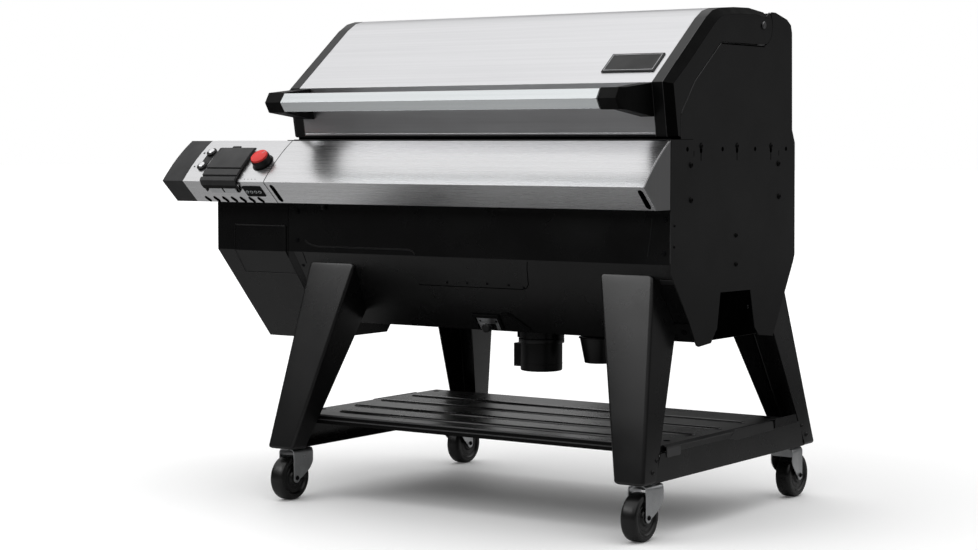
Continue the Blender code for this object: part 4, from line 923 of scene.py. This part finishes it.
def dress_rear():
    """The unseen side: inlet pins, blank label, exhaust louvres and screws."""
    y = 0.264
    # Painted shadow in the recess of the power inlet.
    Shape().plate([(x, y, z) for x, z in ((-0.6895, 0.5905), (-0.6565, 0.5905), (-0.6565, 0.574),
        (-0.661, 0.5695), (-0.685, 0.5695), (-0.6895, 0.574))], Y, 0.0003,
        -0.0001).done("inlet_recess", "painted_shadow")
    pins = Shape()
    for x, z in ((-0.673, 0.5855), (-0.682, 0.578), (-0.664, 0.578)):
        pins.box((x - 0.001, y, z - 0.003), (x + 0.001, y + 0.0016, z + 0.003))
    pins.done("inlet_pins", "zinc")

    hoods = Shape()
    for column in range(-6, 7):
        x = column * 0.052
        base = 0.2702
        rings = []
        for z, depth in ((1.062, 0.0), (1.07, 0.0045), (1.13, 0.0045), (1.138, 0.0)):
            rings.append([(x - 0.0105, base + 0.0012, z), (x - 0.009, base + 0.0012 + depth, z),
                (x - 0.0075, base + 0.0012 + depth, z), (x - 0.0075, base, z),
                (x - 0.0105, base, z)])
        hoods.loft(rings)
    hoods.done("exhaust_louvres", "coat")

    screws = Shape()
    for x in (-0.5, -0.25, 0.0, 0.25, 0.5):
        screws.bolt((x, 0.2885, 0.915), Y, 0.0046, 0.0028, 0)
        screws.bolt((x, 0.2885, 0.665), Y, 0.0046, 0.0028, 0)
        screws.bolt((x, 0.2732, 0.985), Y, 0.004, 0.0024, 0)
    for x in (-0.8, -0.6):
        for z in (0.68, 0.9):
            screws.bolt((x, 0.288, z), Y, 0.0042, 0.0024, 0)
    screws.done("rear_screws", "bolt")
    Shape().box((-0.745, 0.2878, 0.76), (-0.665, 0.2886, 0.82)).done("blank_rating_plate", "line",
        ROOT, 0.0003)
    # Painted shadow in the fan's intake slots.
    vents = Shape()
    for i in range(8):
        z = 0.69 + 0.0085 * i
        vents.box((-0.63, 0.2876, z), (-0.6, 0.2884, z + 0.0035))
    vents.done("fan_intake_slots", "painted_shadow")


# Ash cup, grease cup, pull --------------------------------

def dress_cups():
    x, y = 0.0, -0.01
    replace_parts(Shape().turned([(0.0, 0.3373), (0.05, 0.337), (0.053, 0.3378), (0.0546, 0.3402),
        (0.0548, 0.344), (0.0548, 0.409), (0.0556, 0.4098), (0.0596, 0.41), (0.06, 0.4108),
        (0.06, 0.4212), (0.0592, 0.422), (0.0536, 0.422), (0.0528, 0.421), (0.0528, 0.342),
        (0.051, 0.3402), (0.0, 0.34)], (x, y, 0), Z, 72).done("ash_cup_body", "coat", "ash_cup",
        0.0, "powder_coat"), "ash_cup")
    grip = Shape()
    grip.loft([[(-0.078, y - 0.013, z), (-0.0765, y - 0.0155, z), (-0.0545, y - 0.016, z),
        (-0.0545, y + 0.016, z), (-0.0765, y + 0.0155, z), (-0.078, y + 0.013, z)]
        for z in (0.345, 0.406)])
    for z in (0.36, 0.3755, 0.391):
        grip.box((-0.0783, y - 0.0125, z - 0.0015), (-0.0778, y + 0.0125, z + 0.0015))
    grip.done("ash_cup_handle", "dark", "ash_cup", 0.0012)
    lugs = Shape()
    for i in range(3):
        angle = math.radians(100 + 120 * i)
        way = Vector((math.cos(angle), math.sin(angle), 0))
        side = Vector((-way.y, way.x, 0))
        centre = Vector((x, y, 0)) + way * 0.0605
        lugs.plate([centre - side * 0.006 + Z * 0.4245, centre + side * 0.006 + Z * 0.4245, centre
            + side * 0.006 + Z * 0.442, centre - side * 0.006 + Z * 0.442], way, 0.003, -0.0004)
    lugs.done("collar_lugs", "bolt", ROOT, 0.0006)
    Shape().bead([(x + 0.055 * math.cos(a), y + 0.055 * math.sin(a), 0.356) for a in turns(60)],
        0.0007, 1.0, Z, 6, True).done("ash_cup_bead", "coat", "ash_cup")

    gx, gy = 0.172, 0.0
    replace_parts(Shape().turned([(0.0, 0.3662), (0.0372, 0.366), (0.0384, 0.3668), (0.0508, 0.4292),
        (0.0536, 0.4298), (0.054, 0.4312), (0.0534, 0.433), (0.0486, 0.433), (0.0478, 0.4318),
        (0.0362, 0.3692), (0.0, 0.3685)], (gx, gy, 0), Z, 64).done("grease_cup_body", "coat",
        "grease_cup", 0.0, "zinc"), "grease_cup")

    pull = Shape()
    low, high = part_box("ash_pull_knob")
    px, pz = (low.x + high.x) / 2 - MIDDLE.x, (low.z + high.z) / 2
    tip = low.y - MIDDLE.y
    pull.turned([(0.0, 0.0), (0.0085, 0.0), (0.0112, 0.0018), (0.012, 0.006), (0.0116, 0.013),
        (0.0098, 0.0168), (0.0036, 0.0178), (0.0032, 0.02), (0.0032, 0.102)], (px, tip, pz), Y, 40)
    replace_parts(pull.done("ash_pull_handle", "dark", "ash_pull", 0.0, "dark_plastic"),
        "ash_pull_knob")


# Cart -----------------------------------------------------

def leg_measure(ends, z):
    """A measure of the leg at one height, from its values at the top and at the foot."""
    return ends[0] + (ends[1] - ends[0]) * ((LEG_TOP_Z - z) / (LEG_TOP_Z - LEG_FOOT_Z))


def leg_ring(side, end, z, inset=0.0, reach=0.0, squeeze=0.0, flat=False):
    """The outline of a leg at one height, its two front corners rounded."""
    front = leg_measure(LEG_Y, z)
    back = front - leg_measure(LEG_DEPTH, z) - reach
    front -= inset if flat else inset + squeeze
    outer = leg_measure(LEG_OUT, z) - inset - squeeze
    inner = leg_measure(LEG_IN, z) + inset + squeeze
    corner = LEG_CORNER - inset
    points = [(outer, back)]
    for cx, turn in ((outer - corner, 0), (inner + corner, 90)):
        points += arc((cx, front - corner), corner, [turn + 15 * i for i in range(7)])
    points.append((inner, back))
    return [(side * x, end * y, z) for x, y in points]


def make_leg(name, side, end):
    """A leg pressed from sheet: rounded folds, a curled toe and rounded top corners."""
    levels = [(LEG_FOOT_Z + LEG_CORNER * (1 - math.cos(a)), LEG_CORNER * (1 - math.sin(a)))
        for a in (math.radians(18 * i) for i in range(6))]
    levels += [(0.3, 0.0), (0.45, 0.0), (0.6, 0.0)]
    levels += [(0.61 + LEG_CORNER * math.sin(a), LEG_CORNER * (1 - math.cos(a)))
        for a in (math.radians(18 * i) for i in range(1, 6))]
    leg = Shape().loft([leg_ring(side, end, z, 0.0, 0.0, squeeze, z > 0.5)
        for z, squeeze in levels]).raw("leg_sheet_" + name)
    cut(leg, Shape().loft([leg_ring(side, end, z, SHEET, 0.05)
        for z in (LEG_FOOT_Z + 0.004, 0.3, 0.45, 0.68)]).raw("leg_hollow"))
    section = [(FRONT_Y - 0.0006, 0.76), (FRONT_Y - 0.0006, 0.6458), (-0.2123, 0.4543),
        (0.1663, 0.4543), (0.2886, 0.6418), (0.2886, 0.76)]
    cut(leg, Shape().along_x(section, -0.7, 0.7).raw("leg_room"))
    finish_piece(leg, "leg", ROOT, "leg_" + name, 28)


def dress_cart():
    for side, end, name in ((1, -1, "front_right"), (-1, -1, "front_left"), (1, 1, "rear_right"),
            (-1, 1, "rear_left")):
        make_leg(name, side, end)

    bolts = Shape()
    for side in (-1, 1):
        for end in (-1, 1):
            slant = Vector((side * 0.483, 0.0, 0.046)).normalized()
            for z, y, size in ((0.165, 0.401, 0.0062), (0.19, 0.378, 0.0048)):
                bolts.bolt((side * leg_measure(LEG_OUT, z), end * y, z), slant, size, 0.0036, 0)
    bolts.done("leg_bolts", "dark")

    ribs = Shape()
    top = 0.222
    for y, x0, x1 in ((-0.275, -0.462, 0.498), (-0.15, -0.51, 0.538), (-0.014, -0.524, 0.536),
            (0.12, -0.518, 0.53)):
        rings = []
        spans = [(x0 + 0.009 * (1 - math.cos(a)), math.sin(a))
            for a in (math.radians(v) for v in (4, 22, 45, 68, 90))]
        spans += [(x1 - 0.009 * (1 - math.cos(a)), math.sin(a))
            for a in (math.radians(v) for v in (90, 68, 45, 22, 4))]
        for x, swell in spans:
            rings.append([(x, y + 0.0092 * swell * math.cos(a), top - 0.0004 + 0.0058 * swell
                * math.sin(a)) for a in (math.pi * i / 10 for i in range(11))])
        ribs.loft(rings)
    ribs.done("shelf_ribs", "leg", ROOT, 0.0, None, 50)
    # Painted shadow in the holes of the lower shelf.
    holes = Shape()
    for x, y in ((-0.5342, -0.2576), (0.5268, -0.27), (-0.528, 0.25), (0.5268, 0.25)):
        holes.disc(0.0085, -0.0002, 0.0006, (x, y, top), Z, 24)
    holes.done("shelf_holes", "painted_shadow")

    # Painted highlight beads along the lower shelf's front hem.
    Shape().bead([(-0.548, -0.35, 0.2205), (0.548, -0.35, 0.2205)], 0.0024, 0.8,
        (0, -1, 0)).bead([(-0.548, -0.35, 0.209), (0.548, -0.35, 0.209)], 0.0018, 0.6,
        (0, -1, 0)).done("shelf_hem", "painted_highlight")
    Shape().box((-0.546, -0.3503, 0.1985), (0.546, -0.3499, 0.2188)).done("shelf_front_band",
        "deep")

    tab = Shape()
    clip = Shape()
    for side in (-1, 1):
        x = side * 0.5637
        clip.plate(rounded([(x, -0.336, 0.2135), (x, -0.27, 0.2135), (x, -0.27, 0.1925),
            (x, -0.336, 0.1925)], 0.006), X * side, 0.002)
        tab.plate(rounded([(x, -0.05, 0.206), (x, -0.02, 0.207), (x, 0.004, 0.2215),
            (x, 0.205, 0.2215), (x, 0.21, 0.199), (x, 0.01, 0.195)], 0.005), X * side, 0.0026)
        tab.plate([(side * 0.554, -0.338, 0.2219), (side * 0.566, -0.338, 0.2165),
            (side * 0.566, 0.204, 0.2165), (side * 0.554, 0.204, 0.2219)], (side * 0.41, 0, 0.91),
            -0.0022)
        tab.plate([(x, -0.338, 0.2175), (x, 0.203, 0.2175), (x, 0.203, 0.203), (x, -0.338, 0.203)],
            X * side, 0.0016)
    tab.plate([(0.5662, 0.216, 0.2005), (0.5662, 0.221, 0.2255), (0.5662, 0.335, 0.2255),
        (0.57, 0.338, 0.204)], X, -0.0022)
    tab.done("shelf_side_tabs", "leg", ROOT, 0.0008)
    # The side clips take the lighter painted-highlight coat.
    clip.done("shelf_side_clips", "painted_highlight", ROOT, 0.0008)


def fork_outline(cy, ay, az, top, end):
    """The side view of a fork cheek: upright front edge, round tip, curved rear edge."""
    front, back = ay + end * 0.0125, cy - end * 0.024
    points = [(front, top + 0.01), (back, top + 0.01), (back, 0.1)]
    low = Vector((ay - end * 0.0118, az - 0.004))
    start = Vector((back, 0.1))
    knee = Vector((back + end * 0.002, 0.082))
    for i in range(1, 7):
        t = i / 7
        p = (1 - t) ** 2 * start + 2 * t * (1 - t) * knee + t ** 2 * low
        points.append((p.x, p.y))
    for i in range(9):
        angle = math.radians(198 + 18 * i)
        points.append((ay + end * 0.0125 * math.cos(angle), az + 0.0125 * math.sin(angle)))
    return points


def make_fork(name, cx, cy, ay, az, end):
    """A pressed fork: rounded shoulders, cheeks folded outwards behind the axle."""
    top = 0.134
    shoulder = 0.012
    rings = []
    for y, half in ((ay + end * 0.03, 0.0255), (ay - end * 0.011, 0.0255),
            (ay - end * 0.017, 0.0268), (cy - end * 0.01, 0.0315), (cy - end * 0.045, 0.0325)):
        ring = []
        for inset, way in ((0.0, 1), (SHEET, -1)):
            right = arc((half - shoulder, top - shoulder), shoulder - inset,
                [15 * i for i in range(7)])
            side = ([(half - inset, 0.02)] + right + [(-a, b) for a, b in right[::-1]]
                + [(-half + inset, 0.02)])
            ring += side[::way]
        rings.append([(cx + a, y, b) for a, b in ring])
    fork = Shape().loft(rings).raw("fork_sheet_" + name)
    cut(fork, Shape().along_x(fork_outline(cy, ay, az, top, end), cx - 0.06, cx
        + 0.06).raw("fork_keep"), "INTERSECT")
    ring = rounded([(cx - 0.0305, 0.133), (cx + 0.0305, 0.133), (cx + 0.0305, 0.112),
        (cx - 0.0305, 0.112)], 0.006)
    body = "caster_fork_" + name
    Shape().plate([(x, cy - end * 0.024, z) for x, z in ring], (0, end, 0),
        0.0024).done("fork_skirt_" + name, "zinc", body, 0.0006)
    modify(fork, "rounding", "BEVEL", width=0.0007, segments=2, limit_method="ANGLE",
        angle_limit=math.radians(40))
    finish_piece(fork, "zinc", body, body, 30)


def make_wheel(name, cx, ay, az):
    w = 0.021
    half = [(0.0044, w + 0.0014), (0.0046, w), (0.015, w), (0.018, w - 0.0006), (0.02, w - 0.0038),
        (0.022, w - 0.0048), (0.0385, w - 0.0048), (0.0405, w - 0.0036), (0.0425, w - 0.0006),
        (0.045, w), (0.0515, w - 0.0004), (0.0548, w - 0.0024), (0.0568, w - 0.0056),
        (0.0578, w - 0.01), (0.058, 0.004)]
    profile = [(0.0, -w - 0.0014)] + [(r, -h) for r, h in half] + half[::-1]
    profile += [(0.0, w + 0.0014)]
    piece = Shape().turned(profile, (cx, ay, az), X, 96).done("wheel_tyre_" + name, "rubber",
        "caster_wheel_" + name, 0.0, "wheel_rubber", 26)
    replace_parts(piece, "caster_wheel_" + name)
    ring = Shape()
    for face in (-1, 1):
        for radius, size in ((0.0475, 0.0007), (0.03, 0.0012)):
            lift = w - 0.0001 if radius > 0.04 else w - 0.0047
            ring.bead([(cx + face * lift, ay + radius * math.cos(a), az + radius * math.sin(a))
                for a in turns(64)], size, 0.6, X, 6, True)
    ring.done("wheel_rings_" + name, "hub", "caster_wheel_" + name)


def dress_casters():
    for end_name, end in (("front", -1), ("rear", 1)):
        for side_name in ("left", "right"):
            name = end_name + "_" + side_name
            low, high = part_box("caster_wheel_" + name)
            centre = (low + high) / 2 - MIDDLE
            cx, ay, az = centre.x, centre.y, 0.058
            cy = ay - end * 0.034
            make_wheel(name, cx, ay, az)
            make_fork(name, cx, cy, ay, az, end)
            axle = Shape()
            for face in (-1, 1):
                axle.turned([(0.0, 0.0), (0.0062, 0.0), (0.0062, 0.001), (0.0048, 0.0014),
                    (0.0044, 0.0034), (0.003, 0.0042), (0.0, 0.0043)],
                    (cx + face * 0.0255, ay, az), X * face, 24)
            axle.done("caster_axle_" + name, "bolt", "caster_fork_" + name)
            Shape().turned([(0.0, 0.0), (0.0225, 0.0), (0.0235, 0.0008), (0.0235, 0.0018),
                (0.0225, 0.0025), (0.0, 0.0026)], (cx, cy, 0.1341), Z, 48).done("caster_race_"
                + name, "zinc", "caster_fork_" + name)


# Inside ---------------------------------------------------

def dress_inside():
    Shape().turned([(0.0, 0.0), (0.003, 0.0), (0.003, 0.085), (0.0016, 0.09), (0.0, 0.092)],
        (-0.5715, 0.1, 1.0), X, 20).done("air_probe", "zinc")
    wires = Shape()
    for x in (-0.3, 0.3):
        wires.bead([(x, -0.139, 1.068), (x, 0.199, 1.068)], 0.002)
    wires.done("rack_stiffeners", "zinc", "upper_rack")
    felt = Shape()
    for x in (-0.5685, 0.5685):
        felt.bead([(x, -0.31, 0.9372), (x, 0.25, 0.9372)], 0.0028, 0.7, Z)
    felt.done("rim_gasket", "dark")


# Stage ----------------------------------------------------

def area_light(name, at, target, size, power):
    light = bpy.data.lights.new(name, "AREA")
    light.shape = "RECTANGLE"
    light.size, light.size_y = size
    light.energy = power
    item = bpy.data.objects.new(name, light)
    item.location = at
    item.rotation_euler = (Vector(target) - Vector(at)).to_track_quat("-Z", "Y").to_euler()
    item.visible_camera = False
    bpy.context.scene.collection.objects.link(item)
    return item


def to_camera(tree, ray, source, grey):
    """The source in lighting and reflections, and a plain grey straight to the camera."""
    return add_node(tree, "Mix", {"Factor": ray, "A": source}, {"data_type": "RGBA"},
        B=(grey, grey, grey, 1.0)).outputs["Result"]


def make_world():
    """A studio seen in reflections: dark round the horizon, bright overhead, white behind."""
    world = bpy.data.worlds.new("studio")
    bpy.context.scene.world = world
    world.use_nodes = True
    tree = world.node_tree
    place = add_node(tree, "TexCoord").outputs["Generated"]
    split = add_node(tree, "SeparateXYZ", {"Vector": place})
    ramp = add_node(tree, "ValToRGB", {"Fac": split.outputs["Z"]})
    stops = ((0.0, 0.02), (0.08, 0.03), (0.3, 0.065), (0.6, 0.9), (0.67, 1.02), (0.7, 0.62),
        (0.725, 1.02), (1.0, 1.12))
    while len(ramp.color_ramp.elements) < len(stops):
        ramp.color_ramp.elements.new(0.5)
    for element, (place_z, value) in zip(ramp.color_ramp.elements, stops):
        element.position = place_z
        element.color = (value, value, value, 1.0)
    ray = add_node(tree, "LightPath").outputs["Is Camera Ray"]
    tree.links.new(to_camera(tree, ray, ramp.outputs["Color"], 1.0),
        tree.nodes["Background"].inputs["Color"])
    tree.nodes["Background"].inputs["Strength"].default_value = 1.0


def make_floor():
    mesh = bpy.data.meshes.new("floor")
    far = 60.0
    mesh.from_pydata([(-far, -far, 0), (far, -far, 0), (far, far, 0), (-far, far, 0)], [],
        [(0, 1, 2, 3)])
    ground = Paint("Pale_floor", (0.92, 0.92, 0.92), 0.6)
    ground.link(ground.ramp(ground.noise(1.5, 3.0), 0.56, 0.64), "Roughness")
    tree = ground.tree
    # Painted shade and glow: to lighting and reflections the floor darkens from 0.38 within 0.9 m of
    # its origin to 0.03 beyond 3 m; straight to the camera it is a plain 0.92 grey that glows from
    # 0.06 near to 0.55 far off.
    length = add_node(tree, "VectorMath", {0: ground.place}, {"operation": "LENGTH"})
    away = ground.ramp(length.outputs["Value"], 0.0, 1.0, 0.9, 3.0)
    seen = ground.blend(away, (0.38, 0.38, 0.38), (0.03, 0.03, 0.03))
    ray = add_node(tree, "LightPath").outputs["Is Camera Ray"]
    ground.link(to_camera(tree, ray, seen, 0.92), "Base Color")
    ground.set("Emission Color", (1.0, 1.0, 1.0, 1.0))
    glow = ground.ramp(length.outputs["Value"], 0.06, 0.55, 0.7, 6.0)
    ground.link(ground.maths("MULTIPLY", glow, ray), "Emission Strength")
    mesh.materials.append(ground.material)
    floor = bpy.data.objects.new("floor", mesh)
    bpy.context.scene.collection.objects.link(floor)


def make_stage():
    make_floor()
    make_world()
    key = area_light("key_top", (0.4, -0.6, 4.2), (0.1, 0.0, 0.6), (4.5, 3.2), 70.0)
    key.visible_glossy = False
    area_light("front_soft", (-1.15, -2.35, 1.85), (0.1, -0.3, 0.5), (2.4, 0.9), 17.0)
    area_light("rear_right_soft", (2.6, 2.5, 1.02), (0.6, 0.0, 0.9), (2.4, 1.4), 1.5)
    area_light("rear_left_soft", (-2.6, 2.6, 1.6), (-0.3, 0.2, 0.6), (2.4, 1.4), 9.0)

    camera = bpy.data.cameras.new("camera")
    camera.lens = 78.98
    camera.sensor_width = 36.0
    camera.clip_end = 200.0
    item = bpy.data.objects.new("camera", camera)
    item.location = MIDDLE + Vector((3.0591, -4.6959, 0.932))
    item.rotation_euler = (math.radians(90 - 3.535), 0.0, math.radians(34.545))
    bpy.context.scene.collection.objects.link(item)
    bpy.context.scene.camera = item
    bpy.context.scene.view_settings.view_transform = "Standard"


dress_nodes()
dress_lid()
dress_controls()
dress_body()
dress_hopper()
dress_rear()
dress_cups()
dress_cart()
dress_casters()
dress_inside()
make_stage()
